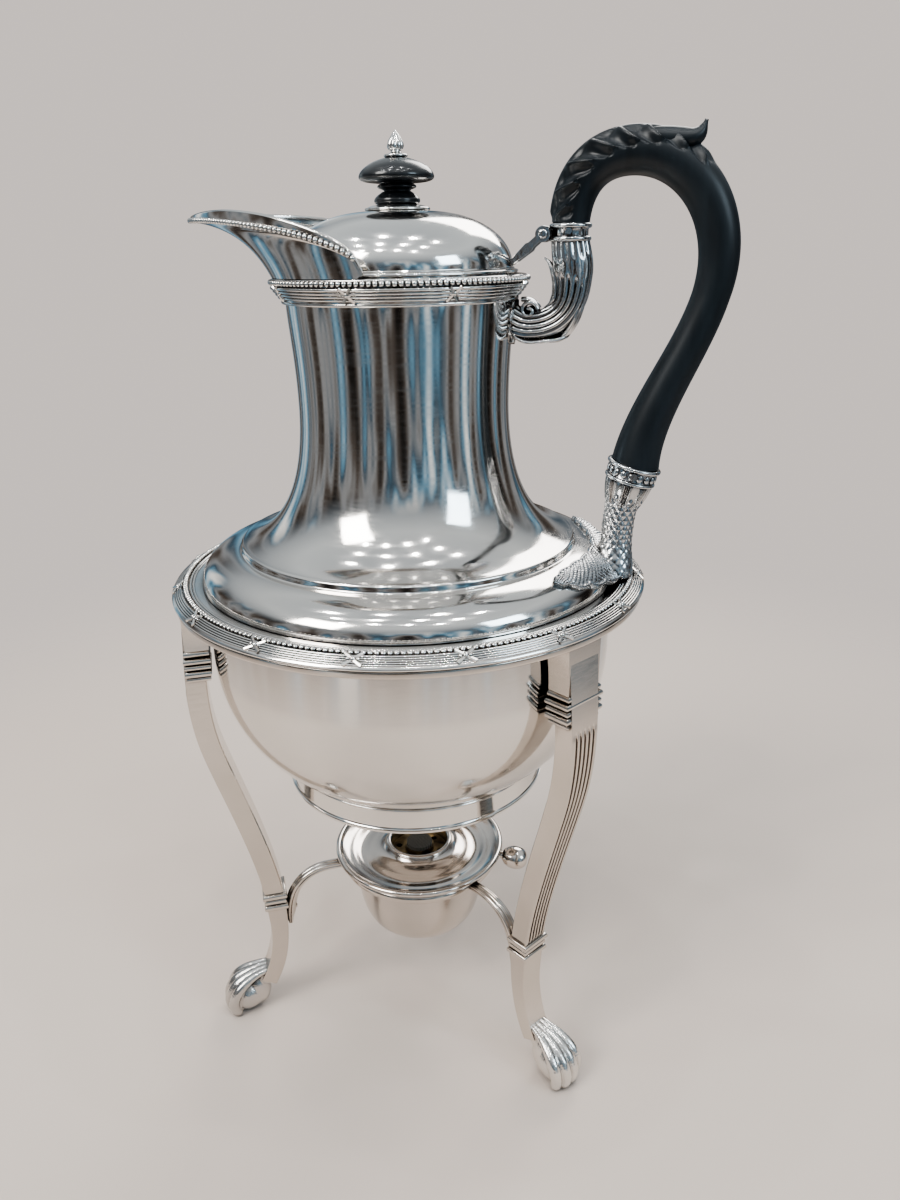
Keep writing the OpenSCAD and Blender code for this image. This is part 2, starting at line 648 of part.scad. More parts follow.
module finial_plate() {
    color(silver) translate([0, 0, dome_top]) difference() {
        cylinder(h = 1.5, r1 = 0.87 * cap_r, r2 = 0.66 * cap_r);
        translate([0, 0, -1]) cylinder(h = 4, r = screw_r + 0.05);
    }
}

// Turned ebony knob
module finial_knob() {
    k = finial_h / 13;
    color(ebony) translate([0, 0, plate_top]) rotate_extrude() polygon(concat(
        [[screw_r + 0.05, 0]],
        bez([0.5 * cap_r, 0], [0.68 * cap_r, 1.4 * k], [0.5 * cap_r, 3.2 * k], [0.37 * cap_r, 3.8 * k], 8),
        bez([0.37 * cap_r, 4.4 * k], [0.42 * cap_r, 5.2 * k], [0.54 * cap_r, 5.4 * k],
            [0.54 * cap_r, 6.4 * k], 4),
        bez([0.9 * cap_r, 6.5 * k], [1.02 * cap_r, 6.6 * k], [1.02 * cap_r, 8 * k],
            [0.9 * cap_r, 9.4 * k], 6),
        rest(bez([0.9 * cap_r, 9.4 * k], [0.7 * cap_r, 11.8 * k], [0.45 * cap_r, 13 * k],
            [0.3 * cap_r, 13 * k], 8)), [[screw_r + 0.05, 13 * k]]));
}

// Silver bud that caps the finial
module finial_bud() {
    color(silver) translate([0, 0, knob_top]) rotate_extrude() polygon(concat(
        [[0, 0], [3.6, 0], [3.4, 0.8], [2.6, 1.2], [1.7, 1.7]],
        bez([1.7, 1.7], [3.2, 2.4], [2.4, 4.4], [0.01, 7.4], 8)));
}

// Screw that holds the finial, with its nut under the dome
module finial_screw() {
    color(brass) {
        translate([0, 0, dome_top - sheet_t - 3])
            cylinder(h = knob_top - dome_top + sheet_t + 3, r = screw_r);
        translate([0, 0, dome_top - sheet_t - 2]) cylinder(h = 2, r = 3.4, $fn = 6);
    }
}

stand_ring();
leg(leg_angles[0]);  // leg_left
leg(leg_angles[1]);  // leg_right
leg(leg_angles[2]);  // leg_rear
strut(leg_angles[0]);  // strut_left
strut(leg_angles[1]);  // strut_right
strut(leg_angles[2]);  // strut_rear
lamp_ring();
strut_rivets();
lamp_cup();
lamp_pan();
lamp_collar();
burner_plate();
wick_tube();
wick();
lamp_knob();
jug_bowl();
jug_shoulder();
foot_ring();
girdle();
girdle_beading();
neck_band();
neck_beading();
spout();
spout_beading();
upper_socket();
lower_socket();
hinge_lug();
handle_grip();
handle_pins();
lid_dome();
lid_bezel();
lid_strap();
hinge_pin();
finial_plate();
finial_knob();
finial_bud();
finial_screw();
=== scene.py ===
"""Looks of the silver coffee jug on its lamp stand, in millimetres until mesh_piece scales them."""
import json
import math

import bmesh
import bpy
import numpy as np
from mathutils import Matrix, Vector


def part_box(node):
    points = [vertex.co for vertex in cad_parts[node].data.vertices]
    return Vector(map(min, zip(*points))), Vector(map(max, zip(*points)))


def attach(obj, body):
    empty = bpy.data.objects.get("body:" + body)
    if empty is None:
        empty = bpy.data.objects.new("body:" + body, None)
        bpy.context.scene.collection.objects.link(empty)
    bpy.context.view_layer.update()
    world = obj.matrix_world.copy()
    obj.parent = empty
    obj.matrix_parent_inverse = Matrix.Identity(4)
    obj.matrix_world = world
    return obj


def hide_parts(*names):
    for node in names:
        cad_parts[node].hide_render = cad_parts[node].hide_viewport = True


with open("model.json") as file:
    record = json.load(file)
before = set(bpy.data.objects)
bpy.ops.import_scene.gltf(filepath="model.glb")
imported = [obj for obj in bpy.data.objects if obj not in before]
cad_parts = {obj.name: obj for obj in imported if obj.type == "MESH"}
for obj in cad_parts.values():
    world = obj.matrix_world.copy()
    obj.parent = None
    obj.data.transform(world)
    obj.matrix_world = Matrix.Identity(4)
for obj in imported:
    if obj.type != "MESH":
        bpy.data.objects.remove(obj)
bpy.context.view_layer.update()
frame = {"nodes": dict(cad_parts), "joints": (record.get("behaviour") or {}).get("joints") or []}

MM = 0.001
TAU = 2 * math.pi


def box_mm(node):
    """Lowest and highest corner of a CAD node, in millimetres."""
    low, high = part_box(node)
    return Vector(low) / MM, Vector(high) / MM


# ---- Sizes, worked out from the frame ----
RING_LOW, RING_HIGH = box_mm("stand_ring")
LEG_TOP = RING_LOW.z
RING_R = RING_HIGH.x
GIRDLE_LOW, GIRDLE_HIGH = box_mm("girdle")
GIRDLE_R = GIRDLE_HIGH.x
Z_GIRD = GIRDLE_LOW.z
BOWL_HIGH = box_mm("jug_bowl")[1]
BOWL_R = BOWL_HIGH.x
Z_SHOULDER = BOWL_HIGH.z
Z_MOUTH = box_mm("jug_shoulder")[1].z
FOOT_LOW, FOOT_HIGH = box_mm("foot_ring")
FOOT_R = FOOT_HIGH.x - 0.8
Z_FOOT = FOOT_HIGH.z
BEZEL_LOW, BEZEL_HIGH = box_mm("lid_bezel")
MOUTH_R = BEZEL_HIGH.x - 1
BAND_R = MOUTH_R + 4.6
DOME_LOW, DOME_HIGH = box_mm("lid_dome")
PLATE_LOW, PLATE_HIGH = box_mm("finial_plate")
KNOB_HIGH = box_mm("finial_knob")[1]
BUD_HIGH = box_mm("finial_bud")[1]
PAN_LOW, PAN_HIGH = box_mm("lamp_pan")
CUP_LOW, CUP_HIGH = box_mm("lamp_cup")
COLLAR_HIGH = box_mm("lamp_collar")[1]
EGG_LOW, EGG_HIGH = box_mm("lamp_knob")
LIP_REACH = -box_mm("spout")[0].x
HOLDER_LOW, HOLDER_HIGH = box_mm("lamp_ring")
HINGE = Vector(next(j["pos_m"] for j in frame["joints"] if j["name"] == "lid_hinge")) / MM
LEGS = {}
for side in ("left", "right", "rear"):
    low, high = box_mm("leg_" + side)
    LEGS[side] = math.atan2(low.y + high.y, low.x + high.x)
SHEET_T = 1.2
WAIST_R = 33.9
STEP_R = 56.2
Z_STEP = Z_SHOULDER + 12.3
Z_WIDE = Z_SHOULDER - 25.3
BEAD_R = GIRDLE_R - 4.6


# ---- Materials ----
def node_link(tree, a, b):
    tree.links.new(a, b)


def new_material(name):
    """A material, its node tree and its shader."""
    material = bpy.data.materials.new(name)
    material.use_nodes = True
    tree = material.node_tree
    return material, tree, tree.nodes["Principled BSDF"]


def noise(tree, scale, detail=4.0, stretch=(1, 1, 1)):
    """Noise fixed to the object's own coordinates, in cycles per metre."""
    coords = tree.nodes.new("ShaderNodeTexCoord")
    mapping = tree.nodes.new("ShaderNodeMapping")
    mapping.inputs["Scale"].default_value = stretch
    texture = tree.nodes.new("ShaderNodeTexNoise")
    texture.inputs["Scale"].default_value = scale
    texture.inputs["Detail"].default_value = detail
    node_link(tree, coords.outputs["Object"], mapping.inputs["Vector"])
    node_link(tree, mapping.outputs["Vector"], texture.inputs["Vector"])
    return texture.outputs["Fac"]


def ramp(tree, value, stops):
    node = tree.nodes.new("ShaderNodeValToRGB")
    element = node.color_ramp.elements
    while len(element) < len(stops):
        element.new(0.5)
    for e, (place, colour) in zip(element, stops):
        e.position = place
        e.color = (*colour, 1)
    node_link(tree, value, node.inputs["Fac"])
    return node.outputs["Color"]


def mix(tree, fac, a, b, kind="MIX"):
    node = tree.nodes.new("ShaderNodeMix")
    node.data_type = "RGBA"
    node.blend_type = kind
    for socket, value in ((node.inputs[0], fac), (node.inputs[6], a), (node.inputs[7], b)):
        if hasattr(value, "is_linked"):
            node_link(tree, value, socket)
        else:
            socket.default_value = value if isinstance(value, float) else (*value, 1)
    return node.outputs[2]


def bump(tree, shader, layers):
    """Chains bump layers, each (height, strength, distance in metres)."""
    last = None
    for height, strength, distance in layers:
        node = tree.nodes.new("ShaderNodeBump")
        node.inputs["Strength"].default_value = strength
        node.inputs["Distance"].default_value = distance
        node_link(tree, height, node.inputs["Height"])
        if last:
            node_link(tree, last, node.inputs["Normal"])
        last = node.outputs["Normal"]
    node_link(tree, last, shader.inputs["Normal"])


def silver(name, bright, dull, tarnish_and_painted_shade=0.0, rough=(0.06, 0.16), dents=0.02, pits=0.0, pit_scale=900):
    """Polished silver: fine scratches, shallow dents, and hollows darkened by ambient occlusion, partly real
    tarnish and partly painted shade.
    """
    material, tree, shader = new_material(name)
    shader.inputs["Metallic"].default_value = 1.0
    cloud = noise(tree, 22, 5)
    colour = ramp(tree, cloud, [(0.35, dull), (0.65, bright)])
    if tarnish_and_painted_shade:
        # Tarnish with painted shade: ambient occlusion darkens the base colour in hollows almost to black.
        hollow = tree.nodes.new("ShaderNodeAmbientOcclusion")
        hollow.samples = 6
        hollow.inputs["Distance"].default_value = 0.003
        dark = ramp(tree, hollow.outputs["AO"], [(0.35, (0.04, 0.035, 0.032)), (0.62, (0.45, 0.42, 0.40)),
                                                 (0.85, (1, 1, 1))])
        colour = mix(tree, tarnish_and_painted_shade, colour, dark, "MULTIPLY")
    node_link(tree, colour, shader.inputs["Base Color"])
    scratch = noise(tree, 160, 6, (1, 1, 7))
    node_link(tree, ramp(tree, scratch, [(0.3, (rough[0],) * 3), (0.75, (rough[1],) * 3)]),
              shader.inputs["Roughness"])
    layers = [(noise(tree, 14, 2), 0.35, dents * MM * 8), (noise(tree, 1400, 3, (1, 1, 5)), 0.05, 0.00002)]
    if pits:
        layers.append((noise(tree, pit_scale, 2), pits, 0.0003))
    bump(tree, shader, layers)
    return material


JUG = silver("jug_silver", (0.81, 0.785, 0.755), (0.75, 0.72, 0.685))
LID = silver("lid_silver", (0.86, 0.84, 0.81), (0.80, 0.78, 0.75), rough=(0.07, 0.17))
# These silvers darken their hollows by ambient occlusion: tarnish together with painted shade.
STAND = silver("stand_silver", (0.72, 0.67, 0.62), (0.63, 0.58, 0.53), tarnish_and_painted_shade=0.8, rough=(0.12, 0.24))
LAMP = silver("lamp_silver", (0.70, 0.655, 0.61), (0.62, 0.575, 0.535), tarnish_and_painted_shade=0.7, rough=(0.09, 0.2))
BORDER = silver("border_silver", (0.85, 0.83, 0.80), (0.78, 0.76, 0.73), tarnish_and_painted_shade=0.95, rough=(0.1, 0.2))
CAST = silver("socket_silver", (0.70, 0.70, 0.70), (0.52, 0.53, 0.54), tarnish_and_painted_shade=1.0, rough=(0.1, 0.22),
              pits=0.12)
FUR = silver("paw_silver", (0.78, 0.76, 0.73), (0.60, 0.58, 0.56), tarnish_and_painted_shade=1.0, rough=(0.12, 0.26), pits=0.35,
             pit_scale=1300)


def ebony(name, dark, light, rough, grain, coat):
    """Black wood: long fine grain, a worn satin or a polished surface."""
    material, tree, shader = new_material(name)
    fibre = noise(tree, 260, 8, (1, 1, 0.12))
    broad = noise(tree, 30, 4)
    colour = mix(tree, 0.5, ramp(tree, fibre, [(0.35, dark), (0.7, light)]),
                 ramp(tree, broad, [(0.3, dark), (0.8, light)]))
    node_link(tree, colour, shader.inputs["Base Color"])
    node_link(tree, ramp(tree, broad, [(0.3, (rough[0],) * 3), (0.7, (rough[1],) * 3)]),
              shader.inputs["Roughness"])
    shader.inputs["Specular IOR Level"].default_value = 0.4
    shader.inputs["Coat Weight"].default_value = coat
    shader.inputs["Coat Roughness"].default_value = 0.3
    bump(tree, shader, [(fibre, grain, 0.0002), (noise(tree, 1800, 2), 0.05, 0.00005)])
    return material


EBONY = ebony("ebony", (0.005, 0.007, 0.009), (0.016, 0.023, 0.029), (0.30, 0.42), 0.10, 0.05)
GLOSS_EBONY = ebony("polished_ebony", (0.004, 0.005, 0.006), (0.014, 0.016, 0.019), (0.1, 0.2), 0.03, 0.6)


def brass_material():
    material, tree, shader = new_material("burner_brass")
    shader.inputs["Metallic"].default_value = 1.0
    soot = noise(tree, 160, 5)
    node_link(tree, ramp(tree, soot, [(0.35, (0.05, 0.04, 0.03)), (0.7, (0.34, 0.25, 0.12))]),
              shader.inputs["Base Color"])
    node_link(tree, ramp(tree, soot, [(0.3, (0.6,) * 3), (0.7, (0.35,) * 3)]), shader.inputs["Roughness"])
    bump(tree, shader, [(soot, 0.2, 0.0002)])
    return material


def cotton_material():
    material, tree, shader = new_material("wick_cotton")
    coords = tree.nodes.new("ShaderNodeTexCoord")
    weave = tree.nodes.new("ShaderNodeTexWave")
    weave.inputs["Scale"].default_value = 600
    weave.inputs["Distortion"].default_value = 3
    node_link(tree, coords.outputs["Object"], weave.inputs["Vector"])
    node_link(tree, ramp(tree, weave.outputs["Fac"], [(0.2, (0.03, 0.028, 0.025)),
                                                      (0.9, (0.14, 0.13, 0.11))]),
              shader.inputs["Base Color"])
    shader.inputs["Roughness"].default_value = 0.95
    bump(tree, shader, [(weave.outputs["Fac"], 0.6, 0.0004)])
    return material


BRASS = brass_material()
COTTON = cotton_material()


# ---- Mesh helpers ----
def mesh_piece(name, points, faces, body, material, slot, replaces=(), crease=32, subdivide=0):
    """A finished piece from points in millimetres: merged, and smooth below the crease angle."""
    mesh = bpy.data.meshes.new(name)
    mesh.from_pydata([tuple(float(c) * MM for c in p) for p in points], [],
                     [list(map(int, f)) for f in faces])
    work = bmesh.new()
    work.from_mesh(mesh)
    bmesh.ops.remove_doubles(work, verts=work.verts, dist=0.004 * MM)
    bmesh.ops.recalc_face_normals(work, faces=work.faces)
    work.to_mesh(mesh)
    work.free()
    mesh.shade_smooth()
    mesh.set_sharp_from_angle(angle=math.radians(crease))
    mesh.materials.append(material)
    piece = bpy.data.objects.new(name, mesh)
    bpy.context.scene.collection.objects.link(piece)
    if subdivide:
        modifier = piece.modifiers.new("smooth", "SUBSURF")
        modifier.levels = modifier.render_levels = subdivide
    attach(piece, body)
    if replaces:
        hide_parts(*replaces)
    return piece


def bez(a, b, c, d, n=16):
    """Points of a cubic curve."""
    a, b, c, d = (np.array(p, float) for p in (a, b, c, d))
    t = np.linspace(0, 1, n + 1)[:, None]
    s = 1 - t
    return [p for p in s**3 * a + 3 * s * s * t * b + 3 * s * t * t * c + t**3 * d]


def chain(*parts):
    """Joins outlines and drops a point that repeats the one before it."""
    out = []
    for part in parts:
        for p in part:
            if not out or np.linalg.norm(np.array(p, float) - out[-1]) > 1e-6:
                out.append(np.array(p, float))
    return out


def arc(centre, radius, start, end, n=8):
    angles = [math.radians(a) for a in np.linspace(start, end, n + 1)]
    return [np.array(centre, float) + radius * np.array([math.cos(a), math.sin(a)]) for a in angles]


def inset(path, d):
    """A flat open path moved sideways by d, to the left of its direction."""
    path = np.array(path, float)
    step = np.gradient(path, axis=0)
    step /= np.linalg.norm(step, axis=1)[:, None]
    return list(path + d * np.stack([-step[:, 1], step[:, 0]], axis=1))


def shell(path, t):
    """A closed outline of a sheet of thickness t, on the left of its outer path."""
    return chain(path, inset(path, t)[::-1])


def grid_faces(rows, columns, wrap_rows=False, wrap_columns=True, offset=0):
    faces = []
    for i in range(rows if wrap_rows else rows - 1):
        for j in range(columns if wrap_columns else columns - 1):
            k, m = (i + 1) % rows, (j + 1) % columns
            faces.append((offset + i * columns + j, offset + i * columns + m, offset + k * columns + m,
                          offset + k * columns + j))
    return faces


def turned(outline, seg=256, wrap=True, warp=None):
    """Points and faces of an outline (radius, height) turned round the axis; warp may move the points."""
    outline = np.array(outline, float)
    angle = np.linspace(0, TAU, seg, endpoint=False)
    r, z = outline[:, 0][:, None], outline[:, 1][:, None]
    points = np.stack([r * np.cos(angle), r * np.sin(angle), z + 0 * angle], axis=2)
    if warp:
        points = warp(points, angle)
    return points.reshape(-1, 3), grid_faces(len(outline), seg, wrap_rows=wrap)


def lathe(name, outline, body, material, slot, replaces=(), seg=256, wrap=True, warp=None, crease=32):
    points, faces = turned(outline, seg, wrap, warp)
    return mesh_piece(name, points, faces, body, material, slot, replaces, crease)


def loft(rings, cap=True):
    """Points and faces of a skin over closed rings of equal length."""
    rings = np.array(rings, float)
    count, n = rings.shape[:2]
    faces = grid_faces(count, n)
    if cap:
        faces += [tuple(range(n))[::-1], tuple(range((count - 1) * n, count * n))]
    return rings.reshape(-1, 3), faces


def join(parts):
    """Several (points, faces) as one."""
    points, faces, offset = [], [], 0
    for p, f in parts:
        points.append(np.array(p, float))
        faces += [tuple(i + offset for i in face) for face in f]
        offset += len(p)
    return np.concatenate(points), faces


def turn_z(points, angle):
    c, s = math.cos(angle), math.sin(angle)
    return np.array(points, float) @ np.array([[c, s, 0], [-s, c, 0], [0, 0, 1]])


def ball(centre, radius, n=12, m=8, squash=(1, 1, 1), basis=None):
    """A sphere, or an ellipsoid with its axes along the columns of basis."""
    lat = np.linspace(0, math.pi, m + 1)
    lon = np.linspace(0, TAU, n, endpoint=False)
    points = np.stack([np.outer(np.sin(lat), np.cos(lon)), np.outer(np.sin(lat), np.sin(lon)),
                       np.outer(np.cos(lat), np.ones(n))], axis=2).reshape(-1, 3) * np.array(squash) * radius
    if basis is not None:
        points = points @ np.array(basis, float).T
    return points + np.array(centre, float), grid_faces(m + 1, n)


def bead_row(name, centres, radius, body, replaces):
    return mesh_piece(name, *join([ball(c, radius) for c in centres]), body, BORDER, "border_silver",
                      replaces)


def circle_points(radius, z, count, start=0.0, end=TAU):
    angles = [start + (end - start) * i / count for i in range(count)]
    return [(radius * math.cos(a), radius * math.sin(a), z) for a in angles]


def plane_frames(path):
    """Unit directions along a path in the XZ plane and the normals to its left."""
    path = np.array(path, float)
    step = np.gradient(path, axis=0)
    step /= np.linalg.norm(step, axis=1)[:, None]
    return path, step, np.stack([-step[:, 1], step[:, 0]], axis=1)


def smooth_step(x, low, high):
    t = np.clip((np.asarray(x, float) - low) / (high - low), 0, 1)
    return t * t * (3 - 2 * t)


# ---- Bowl, foot and shoulder ----
BOWL_N = 2.1
BOWL_D = (Z_WIDE - Z_FOOT) / (1 - (FOOT_R / BOWL_R) ** BOWL_N) ** (1 / BOWL_N)


def make_bowl():
    turn = math.asin(((Z_WIDE - Z_FOOT) / BOWL_D))
    curve = []
    for a in np.linspace(turn, 0, 48):
        drop = math.sin(a) * BOWL_D
        curve.append((BOWL_R * (1 - (drop / BOWL_D) ** BOWL_N) ** (1 / BOWL_N), Z_WIDE - drop))
    outside = chain([(0.01, Z_FOOT - 3.4), (0.6 * FOOT_R, Z_FOOT - 3.4)],
                    bez((0.62 * FOOT_R, Z_FOOT - 3.4), (FOOT_R - 8, Z_FOOT - 3.2), (FOOT_R - 3, Z_FOOT - 2),
                        (FOOT_R - 0.5, Z_FOOT - 0.3), 8), curve, [(BOWL_R, Z_SHOULDER)])
    lathe("bowl_sheet", shell(outside, SHEET_T), "jug", JUG, "jug_silver", ["jug_bowl"], seg=288)


def make_foot():
    t = SHEET_T
    low = FOOT_LOW.z
    outline = chain([(FOOT_R - t, low), (FOOT_R + 0.5, low)], arc((FOOT_R + 0.4, low + 0.4), 0.4, -90, 0, 4),
                    [(FOOT_R + 0.8, low + 0.9)], bez((FOOT_R + 0.8, low + 0.9), (FOOT_R + 0.2, low + 1.1),
                    (FOOT_R, low + 1.5), (FOOT_R, low + 2.2), 6), [(FOOT_R, Z_FOOT - 1.1)],
                    arc((FOOT_R + 0.05, Z_FOOT - 0.6), 0.5, -90, 90, 8), [(FOOT_R - t, Z_FOOT - 0.2)])
    lathe("foot_rim", outline, "jug", JUG, "jug_silver", ["foot_ring"])


NOTCH = math.radians(50)
Z_NOTCH = Z_MOUTH - 4.2


def cut_notch(points, angle):
    """Lowers the mouth where the coffee passes under the lid."""
    front = np.abs(angle - math.pi) < NOTCH
    z = points[:, :, 2]
    points[:, :, 2] = np.where(front[None, :] & (z > Z_NOTCH), Z_NOTCH, z)
    return points


def make_shoulder():
    outer = BOWL_R + 0.9
    dome = bez((outer, Z_SHOULDER), (outer, Z_STEP - 5.4), (STEP_R + 6, Z_STEP - 2.8),
               (STEP_R + 0.9, Z_STEP - 2.5), 32)
    step = chain(bez((STEP_R + 0.9, Z_STEP - 2.5), (STEP_R + 0.2, Z_STEP - 2.45), (STEP_R, Z_STEP - 2.2),
                     (STEP_R, Z_STEP - 1.7), 5), [(STEP_R, Z_STEP - 0.9)],
                 bez((STEP_R, Z_STEP - 0.9), (STEP_R, Z_STEP - 0.2), (STEP_R - 0.5, Z_STEP),
                     (STEP_R - 1.4, Z_STEP + 0.06), 5))
    waist = Z_STEP + 0.53 * (Z_MOUTH - Z_STEP)
    neck = chain(bez((STEP_R - 1.4, Z_STEP + 0.06), (WAIST_R + 5.1, Z_STEP + 3.9),
                     (WAIST_R, Z_STEP + 0.285 * (Z_MOUTH - Z_STEP)), (WAIST_R, waist), 56),
                 bez((WAIST_R, waist), (WAIST_R, waist + 14), (MOUTH_R - 0.3, Z_MOUTH - 15.6),
                     (MOUTH_R, Z_MOUTH - 7.6), 20), [(MOUTH_R, Z_NOTCH), (MOUTH_R, Z_MOUTH)])
    lathe("neck_and_shoulder", shell(chain(dome, step, neck), SHEET_T), "jug", JUG, "jug_silver",
          ["jug_shoulder"], seg=288, warp=cut_notch)


# ---- Girdle and neck band ----
def reeds(start, end, count, bulge=0.5):
    """Half-round reeds side by side along a line, on its left."""
    start, end = np.array(start, float), np.array(end, float)
    along = (end - start) / count
    radius = np.linalg.norm(along) / 2
    unit = along / (2 * radius)
    left = np.array([-unit[1], unit[0]])
    out = []
    for i in range(count):
        middle = start + along * (i + 0.5)
        for a in np.linspace(math.pi, 0, 7):
            out.append(middle + radius * 0.97 * math.cos(a) * unit + 2 * bulge * radius * math.sin(a) * left)
    return out


def ribbon(path, half, lift, thick=0.35):
    """A flat ribbon laid along 3-D points; lift holds the surface's outward directions."""
    path, lift = np.array(path, float), np.array(lift, float)
    step = np.gradient(path, axis=0)
    step /= np.linalg.norm(step, axis=1)[:, None]
    side = np.cross(step, lift)
    side /= np.linalg.norm(side, axis=1)[:, None]
    half = np.broadcast_to(np.asarray(half, float), (len(path),))[:, None]
    rings = np.stack([path - side * half, path - side * half * 0.75 + lift * thick,
                      path + lift * thick * 1.35, path + side * half * 0.75 + lift * thick,
                      path + side * half], axis=1)
    return loft(rings)


def ties(outline, angles, spread, sink=0.25):
    """Crossed ribbons with a small bow, over the reeds whose top outline is given as (radius, height)."""
    outline = np.array(outline, float)
    _, step, _ = plane_frames(outline)
    out = np.stack([-step[:, 1], step[:, 0]], axis=1)
    parts = []
    for a in angles:
        for sign in (-1, 1):
            path, lift = [], []
            for i, (r, z) in enumerate(outline):
                turn = a + sign * spread * (2 * i / (len(outline) - 1) - 1)
                c, s = math.cos(turn), math.sin(turn)
                d = out[i]
                path.append(((r - sink * d[0]) * c, (r - sink * d[0]) * s, z - sink * d[1]))
                lift.append((d[0] * c, d[0] * s, d[1]))
            parts.append(ribbon(path, 0.62, lift, 0.55))
        middle = outline[len(outline) // 2]
        for k in (-1, 0, 1):
            turn = a + k * spread * 0.55
            parts.append(ball((middle[0] * math.cos(turn), middle[0] * math.sin(turn), middle[1] + 0.15),
                              0.85 if k == 0 else 0.6))
    return join(parts)


GIRDLE_TIES = [math.radians(15 - 90 - 57 + 22.5 * k) for k in range(16)]
BAND_TIES = [math.radians(15 - 90 + 22.5 + 45 * k) for k in range(8)]


def make_girdle():
    top = Z_SHOULDER
    reed_start, reed_end = (BEAD_R + 1.15, top - 0.12), (GIRDLE_R - 0.62, Z_GIRD + 1.4)
    slope = reeds(reed_start, reed_end, 5)
    outline = chain([(BOWL_R, Z_GIRD), (GIRDLE_R - 0.6, Z_GIRD)],
                    arc((GIRDLE_R - 0.62, Z_GIRD + 0.62), 0.62, -90, 20, 6),
                    slope[::-1], [(BEAD_R + 1.05, top - 0.3), (BEAD_R - 1.05, top - 0.3)],
                    reeds((BEAD_R - 3.0, top - 0.25), (BEAD_R - 1.1, top - 0.15), 2, 0.35)[::-1],
                    [(BOWL_R + 0.6, top - 0.25), (BOWL_R, top - 0.25)])
    lathe("girdle_reeds", outline, "jug", BORDER, "border_silver", ["girdle"], seg=320, crease=40)
    bead_row("girdle_beads", circle_points(BEAD_R, top + 0.02, 262), 0.86, "jug", ["girdle_beading"])
    line = np.linspace(np.array(reed_start) + (-0.5, 0.35), np.array(reed_end) + (0.1, 0.3), 9)
    mesh_piece("girdle_ties", *ties(line, GIRDLE_TIES, math.radians(1.9)), "jug", BORDER, "border_silver")


def make_neck_band():
    low = Z_MOUTH - 7.6
    reed_low, reed_high = (MOUTH_R + 1.3, low + 1.6), (BAND_R - 0.5, Z_MOUTH - 2.4)
    rise = reeds(reed_high, reed_low, 4)
    outline = chain([(MOUTH_R, low), (MOUTH_R + 0.5, low)], arc((MOUTH_R + 0.7, low + 0.6), 0.6, -90, 40, 5),
                    rise[::-1], [(BAND_R - 0.9, Z_MOUTH - 2.2), (BAND_R - 0.9, Z_MOUTH - 0.5)],
                    bez((BAND_R - 0.9, Z_MOUTH - 0.5), (BAND_R - 0.9, Z_MOUTH - 0.1), (BAND_R - 1.4, Z_MOUTH),
                        (BAND_R - 2, Z_MOUTH), 4), [(MOUTH_R, Z_MOUTH)])
    lathe("band_reeds", outline, "jug", BORDER, "border_silver", ["neck_band"], seg=288, crease=40,
          warp=cut_inside_notch)
    bead_row("band_beads", circle_points(BAND_R - 0.55, Z_MOUTH - 1.25, 140), 0.84, "jug", ["neck_beading"])
    line = np.linspace(np.array(reed_high) + (0.3, 0.1), np.array(reed_low) + (0.3, -0.2), 9)
    mesh_piece("band_ties", *ties(line, BAND_TIES, math.radians(2.6)), "jug", BORDER, "border_silver")


def cut_inside_notch(points, angle):
    """The notch reaches only to the inner part of the band."""
    front = np.abs(angle - math.pi) < NOTCH
    r = np.hypot(points[:, :, 0], points[:, :, 1])
    z = points[:, :, 2]
    points[:, :, 2] = np.where(front[None, :] & (z > Z_MOUTH - 2.0) & (r < MOUTH_R + 2.2), Z_MOUTH - 2.6, z)
    return points


# ---- Lip ----
LIP_BASE = BAND_R - 1
LIP_H = 16.6


def lip_share(u):
    return math.cos(math.pi / 2 * abs(u)) ** 0.9


def lip_edge(u, d=0.0):
    """Edge of the lip at u, from -1 to 1 round it, moved in by d."""
    t = lip_share(u)
    width = LIP_BASE * max(0.0, 1 - t**2.4) ** 0.95
    rise = 0.9 + (LIP_H - 0.9) * (1 - (1 - math.sqrt(t)) ** 1.45)
    return np.array([-(LIP_REACH - 2 * d) * t, math.copysign(width * (1 - d / LIP_BASE), u), Z_MOUTH + rise])


def lip_point(u, v, d=0.0):
    """Point of the lip's wall, at v from its foot on the band to its edge."""
    a = np.array([-(LIP_BASE - d) * math.cos(math.radians(88 * u)),
                  (LIP_BASE - d) * math.sin(math.radians(88 * u)), Z_MOUTH])
    b = lip_edge(u, d)
    c = a + (b - a) * np.array([0.3, 0.3, 0.83])
    return (1 - v) ** 2 * a + 2 * v * (1 - v) * c + v * v * b


def lip_out(u):
    """Unit direction outwards from the lip's edge."""
    h = 1e-3
    run = lip_edge(min(1, u + h)) - lip_edge(max(-1, u - h))
    out = np.cross(run, (0, 0, 1.0))
    out /= max(np.linalg.norm(out), 1e-9)
    if out @ np.array([-math.cos(u * 1.5), math.sin(u * 1.5), 0]) < 0:
        out = -out
    return out


